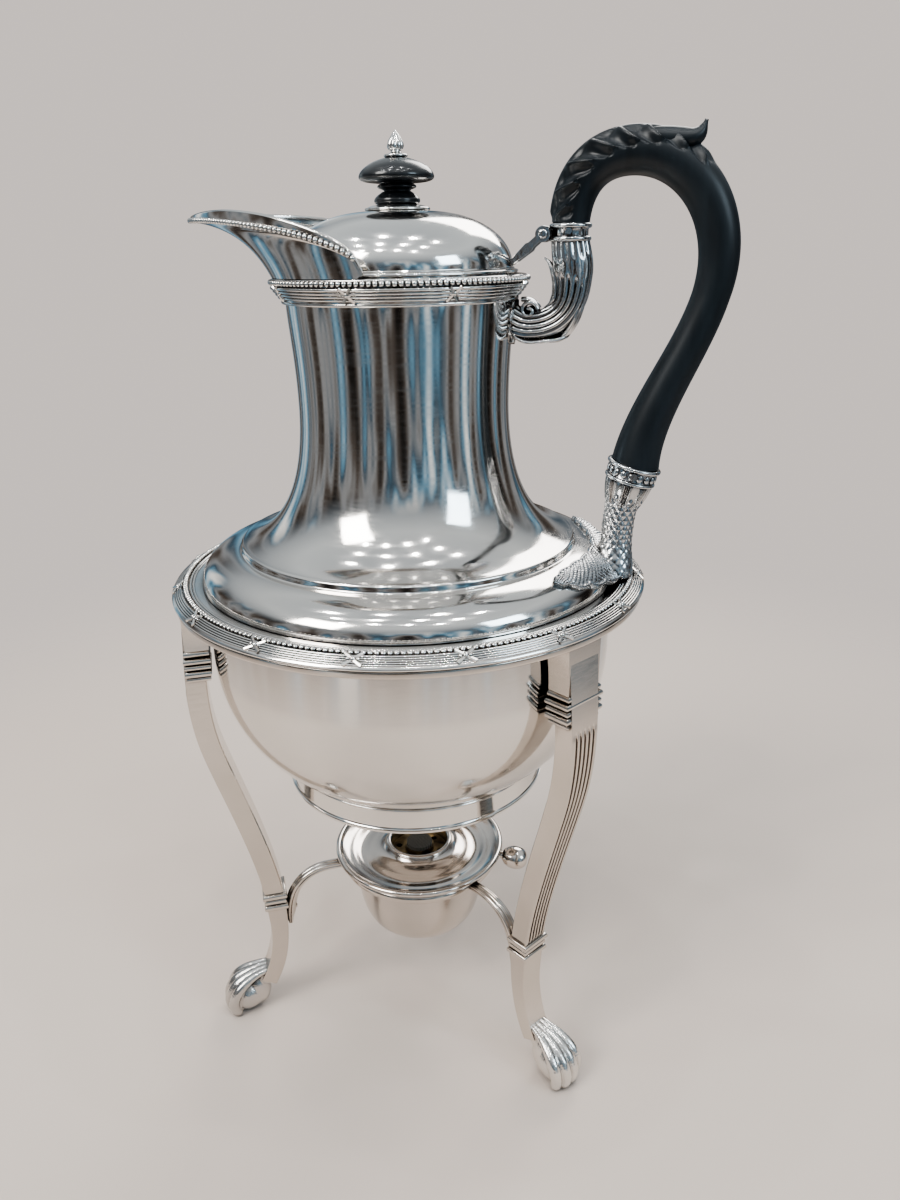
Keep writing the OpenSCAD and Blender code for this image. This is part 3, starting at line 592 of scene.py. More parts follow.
def make_lip():
    columns, rows = 120, 34
    rings = []
    for i in range(columns + 1):
        u = -1 + 2 * i / columns
        t = lip_share(u)
        out = lip_out(u)
        crest = 0.9 + 2.2 * math.sin(math.pi * min(1, t)) + 0.4 * t
        ring = []
        for k in range(rows + 1):
            v = k / rows
            p = lip_point(u, v)
            side = smooth_step(abs(u), 0.42, 0.7) * (1 - smooth_step(abs(u), 0.93, 0.99))
            wave = 0.5 - 0.5 * math.cos(TAU * (v - 0.72) / 0.07) if 0.72 < v < 0.93 else 0.0
            ring.append(p + out * 0.32 * side * wave)
        edge, inner = lip_edge(u), lip_edge(u, SHEET_T)
        for a in np.linspace(0, math.pi, 9):
            middle = (edge + inner) / 2 + (0, 0, crest)
            half = (edge - inner) / 2
            ring.append(middle + half * math.cos(a) * 1.15 + np.array([0, 0, 0.55 * math.sin(a)]))
        ring += [lip_point(u, k / rows, SHEET_T) for k in range(rows, -1, -1)]
        rings.append(ring)
    mesh_piece("lip_sheet", *loft(rings), "jug", JUG, "jug_silver", ["spout"], crease=50)
    line = [lip_edge(u) + lip_out(u) * 0.5 + (0, 0, 0.35) for u in np.linspace(-0.985, 0.985, 1500)]
    length = np.concatenate([[0], np.cumsum(np.linalg.norm(np.diff(line, axis=0), axis=1))])
    count = int(length[-1] / 1.62)
    centres = [np.array([np.interp(d, length, np.array(line)[:, k]) for k in range(3)])
               for d in np.linspace(0, length[-1], count)]
    bead_row("lip_beads", centres, 0.82, "jug", ["spout_beading"])


# ---- Lid ----
def make_lid():
    dome_r, low, top = DOME_HIGH.x, DOME_LOW.z, DOME_HIGH.z
    outside = chain(bez((dome_r, low), (dome_r + 0.1, low + 0.52 * (top - low)), (0.72 * dome_r, top - 1.6),
                        (0.36 * dome_r, top - 0.4), 40),
                    bez((0.36 * dome_r, top - 0.4), (0.25 * dome_r, top - 0.05), (0.2 * dome_r, top),
                        (1.55, top), 12))
    lathe("dome_sheet", shell(outside, SHEET_T), "lid", LID, "lid_silver", ["lid_dome"], seg=256)
    bez_r, z = BEZEL_HIGH.x, BEZEL_LOW.z + 2.6
    outline = chain([(dome_r - 2.6, z - 2.6), (dome_r - 1.4, z - 2.6), (dome_r - 1.4, z)], [(bez_r - 0.5, z)],
                    arc((bez_r - 0.5, z + 0.5), 0.5, -90, 90, 8), [(dome_r + 0.35, z + 1.0)],
                    arc((dome_r + 0.3, z + 1.3), 0.3, -90, 90, 5),
                    [(dome_r - 0.2, z + 1.7), (dome_r - 2.6, z + 1.4)])
    lathe("bezel_ring", outline, "lid", LID, "lid_silver", ["lid_bezel"], seg=256)


def make_finial():
    base, cap = PLATE_HIGH.z, KNOB_HIGH.x
    k = (KNOB_HIGH.z - base) / 13
    low = PLATE_LOW.z
    plate = chain([(1.55, low), (0.87 * cap - 0.4, low)], arc((0.87 * cap - 0.4, low + 0.4), 0.4, -90, 90, 6),
                  bez((0.87 * cap - 0.5, low + 0.8), (0.8 * cap, low + 0.85), (0.75 * cap, low + 1.1),
                      (0.68 * cap, base - 0.1), 6),
                  [(0.6 * cap, base), (1.55, base)])
    lathe("finial_base", plate, "lid", LID, "lid_silver", ["finial_plate"], seg=128)
    knob = chain([(1.55, base)], [(0.5 * cap, base)],
                 bez((0.5 * cap, base), (0.72 * cap, base + 0.9 * k), (0.58 * cap, base + 2.6 * k),
                     (0.36 * cap, base + 3.9 * k), 18),
                 bez((0.36 * cap, base + 3.9 * k), (0.34 * cap, base + 4.4 * k),
                     (0.5 * cap, base + 4.5 * k), (0.52 * cap, base + 5 * k), 8),
                 bez((0.52 * cap, base + 5 * k), (0.53 * cap, base + 5.7 * k), (0.4 * cap, base + 5.8 * k),
                     (0.44 * cap, base + 6.2 * k), 8),
                 bez((0.44 * cap, base + 6.2 * k), (0.7 * cap, base + 6.2 * k),
                     (0.97 * cap, base + 6.3 * k), (0.995 * cap, base + 7.6 * k), 14),
                 bez((0.995 * cap, base + 7.6 * k), (1.0 * cap, base + 9.2 * k),
                     (0.8 * cap, base + 11.6 * k), (0.3 * cap, base + 12.9 * k), 18),
                 [(1.55, base + 13 * k)])
    lathe("finial_turning", knob, "lid", GLOSS_EBONY, "polished_ebony", ["finial_knob"], seg=128)
    z, top = KNOB_HIGH.z, BUD_HIGH.z
    bud = chain([(0.01, z)], arc((3.1, z + 0.45), 0.45, -90, 90, 6),
                bez((2.9, z + 0.9), (2.2, z + 1.0), (1.3, z + 1.2), (1.4, z + 1.8), 6),
                bez((1.4, z + 1.8), (3.3, z + 2.4), (2.5, z + 4.6), (0.01, top), 20))

    def petals(points, angle):
        height = points[:, :1, 2]
        swell = smooth_step(height, z + 1.8, z + 2.4) * (1 - smooth_step(height, z + 4.4, top - 0.6))
        factor = 1 + 0.13 * swell * (np.abs(np.cos(4 * angle))[None, :] - 0.7)
        points[:, :, 0] *= factor
        points[:, :, 1] *= factor
        return points
    lathe("finial_flower", bud, "lid", LID, "lid_silver", ["finial_bud"], seg=96, warp=petals, wrap=False)


# ---- Hinge ----
LUG_W, STRAP_T, SIDE_GAP = 4.0, 1.8, 0.25


def make_strap():
    """Two bevelled arms from the bezel to the hinge pin, each narrowing to a point at the lid, and the rivet
    of the pin.
    """
    foot = np.array([BEZEL_HIGH.x - 2.8, DOME_LOW.z + 0.05])
    centre = np.array([HINGE.x, HINGE.z])
    run = centre - foot
    angle = math.degrees(math.atan2(run[1], run[0]))
    normal = np.array([-run[1], run[0]]) / np.linalg.norm(run)
    outline = chain([foot + (0.2, 0)], [foot + run * 0.15 - normal * 0.75],
                    [foot + run * 0.6 - normal * 1.35],
                    [foot + run * 0.66 - normal * 1.0], arc(centre, 2.3, angle - 154, angle + 154, 30),
                    [foot + run * 0.66 + normal * 1.0], [foot + run * 0.6 + normal * 1.35],
                    [foot + run * 0.15 + normal * 0.8])
    parts = []
    for side in (-1, 1):
        y = side * (LUG_W / 2 + SIDE_GAP + STRAP_T / 2)
        middle = np.mean(outline, axis=0)
        rings = []
        for dy, shrink in ((-STRAP_T / 2, 0.94), (-STRAP_T / 2 + 0.3, 1.0), (STRAP_T / 2 - 0.3, 1.0),
                           (STRAP_T / 2, 0.94)):
            rings.append([(middle[0] + (p[0] - middle[0]) * shrink, y + dy,
                           middle[1] + (p[1] - middle[1]) * shrink) for p in outline])
        parts.append(loft(rings))
    mesh_piece("hinge_strap", *join(parts), "lid", CAST, "socket_silver", ["lid_strap"], crease=40)
    w = LUG_W + 2 * SIDE_GAP + 2 * STRAP_T
    pin = chain([(0.01, -w / 2 - 0.65)],
                bez((0.6, -w / 2 - 0.65), (1.2, -w / 2 - 0.6), (1.4, -w / 2 - 0.3), (1.4, -w / 2), 6),
                [(0.9, -w / 2)])
    outline = chain(pin, [(r, -z) for r, z in pin[::-1]])
    points, faces = turned(outline, 40, wrap=False)
    points = np.stack([points[:, 0] + HINGE.x, points[:, 2], points[:, 1] + HINGE.z], axis=1)
    mesh_piece("hinge_rivet", points, faces, "lid", CAST, "socket_silver", ["hinge_pin"])


# ---- Handle ----
SOCKET_X = HINGE.x + 7.7
SOCKET_Z = Z_MOUTH + 9
SOCKET_H = 5.1
GRIP_R = 6.2
CUP_X = BOWL_R + 5.7
CUP_Z = Z_STEP + 16
GRIP_TOP = Z_MOUTH + 32
REACH = 95.0


def grip_line():
    top_x = (SOCKET_X + REACH) / 2 - 3.7
    base = CUP_Z + 9
    start = SOCKET_Z + SOCKET_H - 0.4
    return chain(bez((SOCKET_X, start), (SOCKET_X + 0.7, start + 12.8), (SOCKET_X + 7.7, GRIP_TOP),
                     (top_x, GRIP_TOP), 90),
                 bez((top_x, GRIP_TOP), (REACH - 11, GRIP_TOP), (REACH, GRIP_TOP - 12.6),
                     (REACH, GRIP_TOP - 28.6), 90),
                 bez((REACH, GRIP_TOP - 28.6), (REACH, GRIP_TOP - 48.6), (CUP_X + 2.3, base + 21),
                     (CUP_X, base - 0.5), 110))


def grip_half(s):
    if s < 0.6:
        return GRIP_R * (0.94 + 0.12 * math.sin(math.pi * s / 0.6))
    return GRIP_R * (0.94 + 0.33 * ((s - 0.6) / 0.4) ** 2)


LEAF_END = 0.36


def leaf_height(q, s, phi):
    """Height of the carved leaf, q mm and share s along the grip, phi round from its outer side."""
    width = math.radians(96) * (1 - 0.42 * float(smooth_step(s, 0.12, LEAF_END)))
    phase = (q - 6.5 * (phi / width) ** 2) / 6.1
    lobe = phase - math.floor(phase)
    edge = width * (0.80 + 0.20 * math.sin(math.pi * lobe) ** 0.7)
    inside = smooth_step(edge - abs(phi), -0.03, 0.06)
    fade = smooth_step(s, 0.004, 0.02) * (1 - smooth_step(s, LEAF_END - 0.03, LEAF_END))
    ridge = math.exp(-(min(lobe, 1 - lobe) / 0.12) ** 2)
    side = smooth_step(abs(phi), 0.14, 0.45)
    hollow = math.sin(math.pi * lobe) ** 1.5 * side
    rib = math.exp(-(phi / 0.15) ** 2)
    return float(fade * inside * (0.5 + 0.55 * ridge * side - 1.45 * hollow + 0.35 * rib))


def make_grip():
    path, _, left = plane_frames(grip_line())
    length = np.concatenate([[0], np.cumsum(np.linalg.norm(np.diff(path, axis=0), axis=1))])
    n = 96
    rings = []
    for i, p in enumerate(path):
        s = length[i] / length[-1]
        half = grip_half(s)
        ring = []
        for j in range(n):
            phi = TAU * j / n
            centred = (phi + math.pi) % TAU - math.pi
            h = half + (leaf_height(length[i], s, centred) if s < LEAF_END else 0.0) - 0.3
            out = left[i] * math.cos(phi) * h
            ring.append((p[0] + out[0], 0.97 * h * math.sin(phi), p[1] + out[1]))
        rings.append(ring)
    grip = loft(rings)
    crown = GRIP_TOP + GRIP_R
    tail_line = chain(bez((72, crown - 2.6), (77, crown - 2.8), (82, crown - 4.2), (85.2, crown - 3.4), 12),
                      bez((85.2, crown - 3.4), (87.6, crown - 2.6), (88.2, crown - 0.6),
                          (88.7, crown + 1.1), 10))
    path, _, left = plane_frames(tail_line)
    count = len(path)
    around = np.linspace(0, TAU, 32, endpoint=False)
    rings = []
    for i, p in enumerate(path):
        s = i / (count - 1)
        thick = 2.4 + 0.9 * math.sin(math.pi * min(1, s * 1.6)) - 1.9 * smooth_step(s, 0.6, 1.0)
        wide = 3.4 + 0.4 * math.sin(math.pi * s) - 2.0 * smooth_step(s, 0.5, 1.0)
        if i == count - 1:
            thick, wide = 0.55, 0.7
        rings.append([(p[0] + left[i][0] * thick * math.cos(a), wide * math.sin(a),
                       p[1] + left[i][1] * thick * math.cos(a)) for a in around])
    tail = loft(rings)
    mesh_piece("grip_wood", *join([grip, tail]), "jug", EBONY, "ebony", ["handle_grip"], crease=60)


def ribbed(path, halves, ribs, depth, n=72):
    """A skin along a path in the XZ plane whose section has rounded ribs."""
    path, _, left = plane_frames(path)
    rings = []
    for p, side, (a, b) in zip(path, left, halves):
        ring = []
        for j in range(n):
            phi = TAU * j / n
            k = 1 - depth * (1 - abs(math.cos(ribs * phi / 2)) ** 0.7)
            out = side * math.cos(phi) * a * k
            ring.append((p[0] + out[0], b * k * math.sin(phi), p[1] + out[1]))
        rings.append(ring)
    return loft(rings)


def lean_points(points, centre, lean):
    """Points turned about the Y axis by lean radians towards +X, then moved to centre."""
    c, s = math.cos(lean), math.sin(lean)
    p = np.array(points, float)
    turned_points = np.stack([c * p[:, 0] + s * p[:, 2], p[:, 1], -s * p[:, 0] + c * p[:, 2]], axis=1)
    return turned_points + np.array(centre, float)


def leaf(line, width, thick=0.8, y=0.0, curl=0.3):
    """A pointed leaf along a path in the XZ plane with a raised midrib; width holds its half-widths."""
    path, _, left = plane_frames(line)
    rings = []
    for p, side, w in zip(path, left, width):
        ring = []
        for a in np.linspace(0, TAU, 24, endpoint=False):
            across, up = math.cos(a) * w, math.sin(a) * thick
            up += 0.5 * thick * math.exp(-(across / (0.25 * w + 0.01)) ** 2) - curl * abs(across)
            ring.append((p[0] + side[0] * up, y + across, p[1] + side[1] * up))
        rings.append(ring)
    return loft(rings)


def blade(line, thick, wide):
    """A smooth tongue along a path in the XZ plane, with elliptical sections of the given half-sizes."""
    path, _, left = plane_frames(line)
    angles = np.linspace(0, TAU, 28, endpoint=False)
    return loft([[(p[0] + n[0] * t * math.cos(a), w * math.sin(a),
                   p[1] + n[1] * t * math.cos(a)) for a in angles]
                 for p, n, t, w in zip(path, left, thick, wide)])


def scroll_skin(line, r):
    """The upper socket's scroll: flutes under its collar, then ribs that start one after another."""
    path, _, left = plane_frames(line)
    count, n = len(path), 120
    rings, inner = [], []
    for i, (p, side) in enumerate(zip(path, left)):
        s = i / (count - 1)
        swell = r * (0.97 + 0.06 * math.sin(math.pi * min(1, s * 3.2)) - 0.19 * smooth_step(s, 0.2, 0.6)
                     + 0.06 * smooth_step(s, 0.85, 1))
        ring = []
        for j in range(n):
            phi = TAU * j / n
            turn = abs((phi + math.pi) % TAU - math.pi)
            start = 0.34 - 0.16 * turn / math.pi
            ribs = 0.19 * smooth_step(s, start, start + 0.08) * smooth_step(turn, 0.75, 0.95)
            lobes = 0.04 * math.exp(-((s - start - 0.05) / 0.05) ** 2) * smooth_step(turn, 0.75, 0.95)
            flutes = 0.10 * (1 - smooth_step(s, 0.10, 0.17))
            groove = 1 - abs(math.cos(8 * phi)) ** 0.7
            k = 1 - (ribs + flutes) * groove + lobes * (1 - groove)
            ring.append((p[0] + side[0] * math.cos(phi) * swell * k, 0.9 * swell * k * math.sin(phi),
                         p[1] + side[1] * math.cos(phi) * swell * k))
        rings.append(ring)
        inner.append(p - side * swell * 0.97)
    return loft(rings), inner


def neck_leaf(low, high, half):
    """Scalloped leaf that lies on the back of the neck under its band."""
    rows, columns = 60, 32
    top, under = [], []
    for i in range(rows + 1):
        t = i / rows
        z = high + (low - high) * t
        width = half * (0.62 + 0.38 * math.sin(math.pi * t)) * (1 - smooth_step(t, 0.62, 1.0) ** 1.3) + 0.15
        width *= 0.80 + 0.20 * abs(math.sin(math.pi * (3.6 * t + 0.2)))
        for j in range(columns + 1):
            v = -1 + 2 * j / columns
            turn = v * width / MOUTH_R
            vein = abs(math.sin(5.5 * v + 9 * t * (1 if v > 0 else -1)))
            rise = 0.55 + 0.9 * (1 - v * v) + 0.35 * vein * (1 - v * v)
            radius = MOUTH_R - 0.1 + (WAIST_R - MOUTH_R) * smooth_step(high - z, 0, 22)
            for out, r in ((top, radius + rise), (under, radius - 0.3)):
                out.append((r * math.cos(turn), r * math.sin(turn), z))
    return plate(top, under, rows + 1, columns + 1)


def plate(top, under, rows, columns):
    """A closed plate between two grids of points."""
    faces = grid_faces(rows, columns, wrap_columns=False)
    total = rows * columns
    faces += [tuple(total + k for k in f[::-1]) for f in faces]
    border = list(range(columns)) + [i * columns + columns - 1 for i in range(1, rows)]
    border += [(rows - 1) * columns + j for j in range(columns - 2, -1, -1)]
    border += [i * columns for i in range(rows - 2, 0, -1)]
    for a, b in zip(border, border[1:] + border[:1]):
        faces.append((b, a, total + a, total + b))
    return np.array(top + under, float), faces


def make_upper_socket():
    x, z, r = SOCKET_X, SOCKET_Z, GRIP_R - 0.4
    line = chain(bez((x, z + 0.3), (x + 0.4, z - 5), (x + 2, z - 8), (x + 1.1, z - 14), 40),
                 bez((x + 1.1, z - 14), (x + 0.4, z - 19.6), (x - 3.8, z - 23.9), (MOUTH_R + 5.4, z - 24.1),
                     50),
                 bez((MOUTH_R + 5.4, z - 24.1), (MOUTH_R + 3.4, z - 24.2), (MOUTH_R + 1.5, z - 23.6),
                     (MOUTH_R - 1, z - 22), 16))
    body, inner = scroll_skin(line, r)
    collar = turned(chain([(0.01, -0.5), (r - 0.7, -0.5)], arc((r - 0.35, 0.45), 0.72, -90, 90, 8),
                          [(r - 0.55, 1.3), (r - 0.5, 3.0)],
                          arc((r - 0.3, 4.0), 0.75, -90, 90, 8), [(r - 0.9, SOCKET_H), (0.01, SOCKET_H)]),
                          96, wrap=False)
    collar = (collar[0] + np.array([x, 0, z]), collar[1])
    ridge = chain(bez((x - 7.5, z - 4.6), (x - 6.6, z - 5.3), inner[36] + (-0.9, 5.2), inner[36], 16),
                  inner[37:76])
    count = len(ridge)
    share = np.linspace(0, 1, count)
    thumb = blade(ridge, 0.35 + 0.85 * smooth_step(share, 0, 0.3) - 0.8 * smooth_step(share, 0.6, 1),
                  0.4 + 2.0 * smooth_step(share, 0, 0.35) - 1.6 * smooth_step(share, 0.6, 1))
    keel_line = chain(bez((MOUTH_R - 0.4, z - 24.5), (MOUTH_R + 0.6, z - 27.9), (MOUTH_R + 4, z - 28.7),
                          (MOUTH_R + 8, z - 28.3), 16),
                      bez((MOUTH_R + 8, z - 28.3), (x - 4.6, z - 27.8), (x - 2.4, z - 28.6),
                          (x - 0.9, z - 27.0), 14))
    keel_width = [2.6 + 1.3 * math.sin(math.pi * i / 24) if i < 18 else 3.2 - 2.5 * ((i - 18) / 12) ** 1.4
                  for i in range(31)]
    keel = leaf(keel_line, keel_width, 0.95, curl=0.1)
    back = leaf(bez((x + 4.2, z - 11), (x + 4.4, z - 18), (x + 2.3, z - 24.0), (x - 1.6, z - 27.2), 26),
                [0.5 + 2.6 * math.sin(math.pi * (0.05 + 0.9 * i / 26)) for i in range(27)], 0.95, curl=0.12)
    arm = blade(bez((MOUTH_R + 2.6, z - 16.4), (MOUTH_R + 6.2, z - 15.9), (MOUTH_R + 8.0, z - 18.2),
                    (MOUTH_R + 7.6, z - 21.6), 20), np.full(21, 0.75), np.linspace(2.7, 1.8, 21))
    parts = [body, collar, thumb, keel, back, arm, neck_leaf(z - 29.6, z - 16.4, 5.6)]
    for side in (-1, 1):
        curl_line = [(MOUTH_R + 5.0 + (2.8 - 0.28 * a) * math.cos(a),
                      z - 19.6 + (2.8 - 0.28 * a) * math.sin(a))
                     for a in np.linspace(0.2, 8.6, 60)]
        path, _, left = plane_frames(curl_line)
        rings = [[(p[0] + n[0] * 0.7 * math.cos(a), side * 2.1 + 1.2 * math.sin(a),
                   p[1] + n[1] * 0.7 * math.cos(a))
                  for a in np.linspace(0, TAU, 12, endpoint=False)] for p, n in zip(path, left)]
        parts.append(loft(rings))
    mesh_piece("socket_scroll", *join(parts), "jug", CAST, "socket_silver", ["upper_socket"], crease=55)


STEM_LEAN = math.radians(15)
LEAF_SPAN = 34
LOBE_SPAN = 7.5


def petal_relief(angle, depth):
    """Relief of the petals under the lower socket's collar; depth is 0 at the top, 1 at their tips."""
    u = (angle / (TAU / 8)) % 1.0 * 2 - 1
    v = np.maximum(0.0, (depth - 0.62) / 0.38) * 0.62
    rim = np.exp(-((np.hypot(u, v) - 0.62) / 0.11) ** 2)
    pearl = np.exp(-(np.hypot(u / 0.26, (depth - 0.72) / 0.13)) ** 2)
    ribs = np.exp(-((np.abs(u) - 0.9) / 0.07) ** 2)
    return 0.62 * rim + 0.8 * pearl + 0.45 * ribs


def make_lower_socket():
    top = np.array([CUP_X, CUP_Z + 9.0])
    low = top - 11.0 * np.array([math.sin(STEM_LEAN), math.cos(STEM_LEAN)])
    r = GRIP_R * 1.3
    outline = chain([(0.01, 0.2), (r - 1.2, 0.2)], arc((r - 0.1, -0.5), 0.65, 90, -90, 8),
                    [(r - 0.45, -1.3), (r - 0.65, -4.3)],
                    arc((r - 0.55, -5.0), 0.6, 90, -90, 8), [(r - 1.1, -5.8)],
                    bez((r - 1.1, -5.8), (r - 1.3, -8.5), (r - 2.2, -11.0), (r - 3.0, -13.6), 40),
                    [(r - 3.2, -14.5), (0.01, -14.5)])
    points, faces = turned(outline, 288, wrap=False)
    radius = np.hypot(points[:, 0], points[:, 1])
    depth = (-6.0 - points[:, 2]) / 7.4
    shown = (depth > 0) & (depth < 1.02) & (radius > 1)
    rise = np.where(shown, petal_relief(np.arctan2(points[:, 1], points[:, 0]), depth), 0.0)
    points[:, :2] *= (1 + rise / np.maximum(radius, 1))[:, None]
    parts = [(lean_points(points, (top[0], 0, top[1]), STEM_LEAN), faces)]
    for i in range(18):
        a = TAU * (i + 0.5) / 18
        egg, egg_faces = ball((0, 0, 0), 1.0, 12, 8, (0.55, 1.05, 1.3))
        egg = turn_z(egg, a) + np.array([(r - 0.5) * math.cos(a), (r - 0.5) * math.sin(a), -2.8])
        parts.append((lean_points(egg, (top[0], 0, top[1]), STEM_LEAN), egg_faces))
    stem_line = chain(bez(low + (0, 1), low - (1.0, 5), (CUP_X - 4.6, Z_STEP + 6),
                          (CUP_X - 4.6, Z_SHOULDER + 8), 90),
                      bez((CUP_X - 4.6, Z_SHOULDER + 8), (CUP_X - 4.5, Z_SHOULDER + 5),
                          (CUP_X - 4.4, Z_SHOULDER + 3), (CUP_X - 4.4, Z_SHOULDER + 1), 30))
    path, _, left = plane_frames(stem_line)
    length = np.concatenate([[0], np.cumsum(np.linalg.norm(np.diff(path, axis=0), axis=1))])
    rings, n = [], 168
    for p, side, q in zip(path, left, length):
        s = q / length[-1]
        flare = float(smooth_step(s, 0.55, 1.0))
        ring = []
        for j in range(n):
            phi = TAU * j / n
            net = abs(math.sin(6 * phi + q) * math.sin(6 * phi - q)) ** 0.5
            inward = max(0.0, -math.cos(phi))
            h = 4.75 + 0.5 * smooth_step(s, 0.3, 0) + 0.42 * net * (1 - 0.5 * flare)
            h += flare * (0.8 + 3.4 * inward + 2.6 * abs(math.sin(phi)) ** 2)
            out = side * math.cos(phi) * h
            ring.append((p[0] + out[0], h * 0.97 * math.sin(phi), p[1] + out[1]))
        rings.append(ring)
    parts += [loft(rings), foot_leaf()]
    mesh_piece("socket_stem", *join(parts), "jug", CAST, "socket_silver", ["lower_socket"], crease=55)


def foot_leaf():
    """Chased leaf that spreads both ways along the shoulder from the foot of the stem."""
    cover = chain([(BOWL_R + 4.8, Z_SHOULDER + 0.7), (BOWL_R + 3.8, Z_SHOULDER + 1.5),
                   (BOWL_R + 2.9, Z_SHOULDER + 2.4),
                   (BOWL_R + 2.3, Z_SHOULDER + 3.6)],
                  inset(bez((BOWL_R + 0.9, Z_SHOULDER), (BOWL_R + 0.9, Z_STEP - 5.4),
                            (STEP_R + 6, Z_STEP - 2.8),
                            (STEP_R + 0.9, Z_STEP - 2.5), 40), -1.2)[9:])
    cover = np.array(cover)
    _, _, normal = plane_frames(cover)
    order = np.argsort(cover[:, 0])
    spread = [0, 10, 20, 27, 32, LEAF_SPAN]
    outer_share, inner_share = [1.27, 1.19, 1.05, 0.94, 0.78, 0.62], [0.42, 0.38, 0.34, 0.36, 0.47, 0.60]
    rows, columns = 300, 72
    top, under = [], []
    for i in range(rows + 1):
        angle = -LEAF_SPAN + 2 * LEAF_SPAN * i / rows
        lobe = abs(math.sin(math.pi * angle / LOBE_SPAN)) ** 0.6
        edge_in = np.interp(abs(angle), spread, inner_share) + 0.05 * (1 - lobe)
        scallop = 0.06 * (1 - lobe) * smooth_step(abs(angle), 8, 12)
        edge_out = np.interp(abs(angle), spread, outer_share) - scallop
        for j in range(columns + 1):
            v = j / columns
            r = STEP_R + (BOWL_R + 0.9 - STEP_R) * (edge_in + (edge_out - edge_in) * v)
            z = np.interp(r, cover[order, 0], cover[order, 1])
            out = np.array([np.interp(r, cover[order, 0], normal[order, k]) for k in (0, 1)])
            out = -out / np.linalg.norm(out)
            vein = abs(math.sin(math.pi * (abs(angle) / LOBE_SPAN + 0.9 * abs(v - 0.5)))) ** 0.5
            across, along = math.pi * angle / 1.9, 7 * math.pi * v
            fine = abs(math.sin(across + along) * math.sin(across - along)) ** 0.5
            rim = math.exp(-((v - 0.95) / 0.045) ** 2) + 0.6 * math.exp(-((v - 0.06) / 0.05) ** 2)
            middle = math.sin(math.pi * v)
            rise = 0.35 * vein * middle + 0.34 * fine * middle ** 0.5 + 0.6 * rim
            rise -= 0.8 * (1 - smooth_step(LEAF_SPAN - abs(angle), 0, 2.5))
            turn = math.radians(angle)
            for grid, d in ((top, rise - 0.3), (under, -1.7)):
                grid.append(((r + out[0] * d) * math.cos(turn), (r + out[0] * d) * math.sin(turn),
                             z + out[1] * d))
    return plate(top, under, rows + 1, columns + 1)


# ---- Legs ----
LEG_W, KNEE_W, LEG_T = 13.0, 9.4, 7.0
PAW_REACH = 71.5
KNEE_Z = 0.29 * (LEG_TOP + 2.4)
KNEE_R = 0.803 * PAW_REACH
LEG_R = BOWL_R + 5.4
BLOCK_H = 15


def leg_line():
    knee = (KNEE_R, KNEE_Z)
    return chain(bez((LEG_R, LEG_TOP), (LEG_R + 0.4, LEG_TOP - 16), (LEG_R + 3.2, LEG_TOP - 31),
                     (LEG_R - 0.2, LEG_TOP - 50), 60),
                 bez((LEG_R - 0.2, LEG_TOP - 50), (LEG_R - 2.4, LEG_TOP - 63), (KNEE_R + 0.8, KNEE_Z + 21),
                     knee, 60),
                 bez(knee, (KNEE_R - 0.2, KNEE_Z - 8), (KNEE_R - 2.9, 28), (PAW_REACH - 8.5, 13), 40))


def leg_section(width, thick, flute):
    """Section of a leg (outwards, across): six bars on its outer side, with grooves as deep as flute."""
    w, t = width / 2, thick / 2
    bars, narrow = 6, 0.2
    out = [(-t + 0.4, -w), (t - 0.5, -w)]
    for k in range(73):
        u = bars * k / 72
        near = round(u)
        gap = abs(u - near) / narrow
        groove = math.cos(math.pi / 2 * gap) ** 0.7 if 0 < near < bars and gap < 1 else 0.0
        bulge = 0.22 * math.sin(math.pi * (u % 1)) if flute else 0.0
        edge = 0.15 if k in (0, 72) else 0.0
        out.append((t - flute * groove + flute * bulge - edge, -w + 2 * w * u / bars))
    return out + [(t - 0.5, w), (-t + 0.4, w), (-t, w - 0.4), (-t, -w + 0.4)]


def slab(centre_r, centre_z, depth, width, height, bulge=0.35):
    """A moulding across a leg with a rounded edge all round, its middle on the leg's centre line."""
    rings = []
    for a in np.linspace(-90, 90, 9):
        grow = bulge * height * math.cos(math.radians(a))
        up = height / 2 * math.sin(math.radians(a))
        d, w = depth / 2 + grow - bulge * height, width / 2 + grow - bulge * height
        ring = []
        for sx, sy in ((1, 1), (-1, 1), (-1, -1), (1, -1)):
            ring.append((sx * d, sy * w, up))
        rings.append(ring)
    points, faces = loft(rings)
    return points + np.array((centre_r, 0, centre_z)), faces


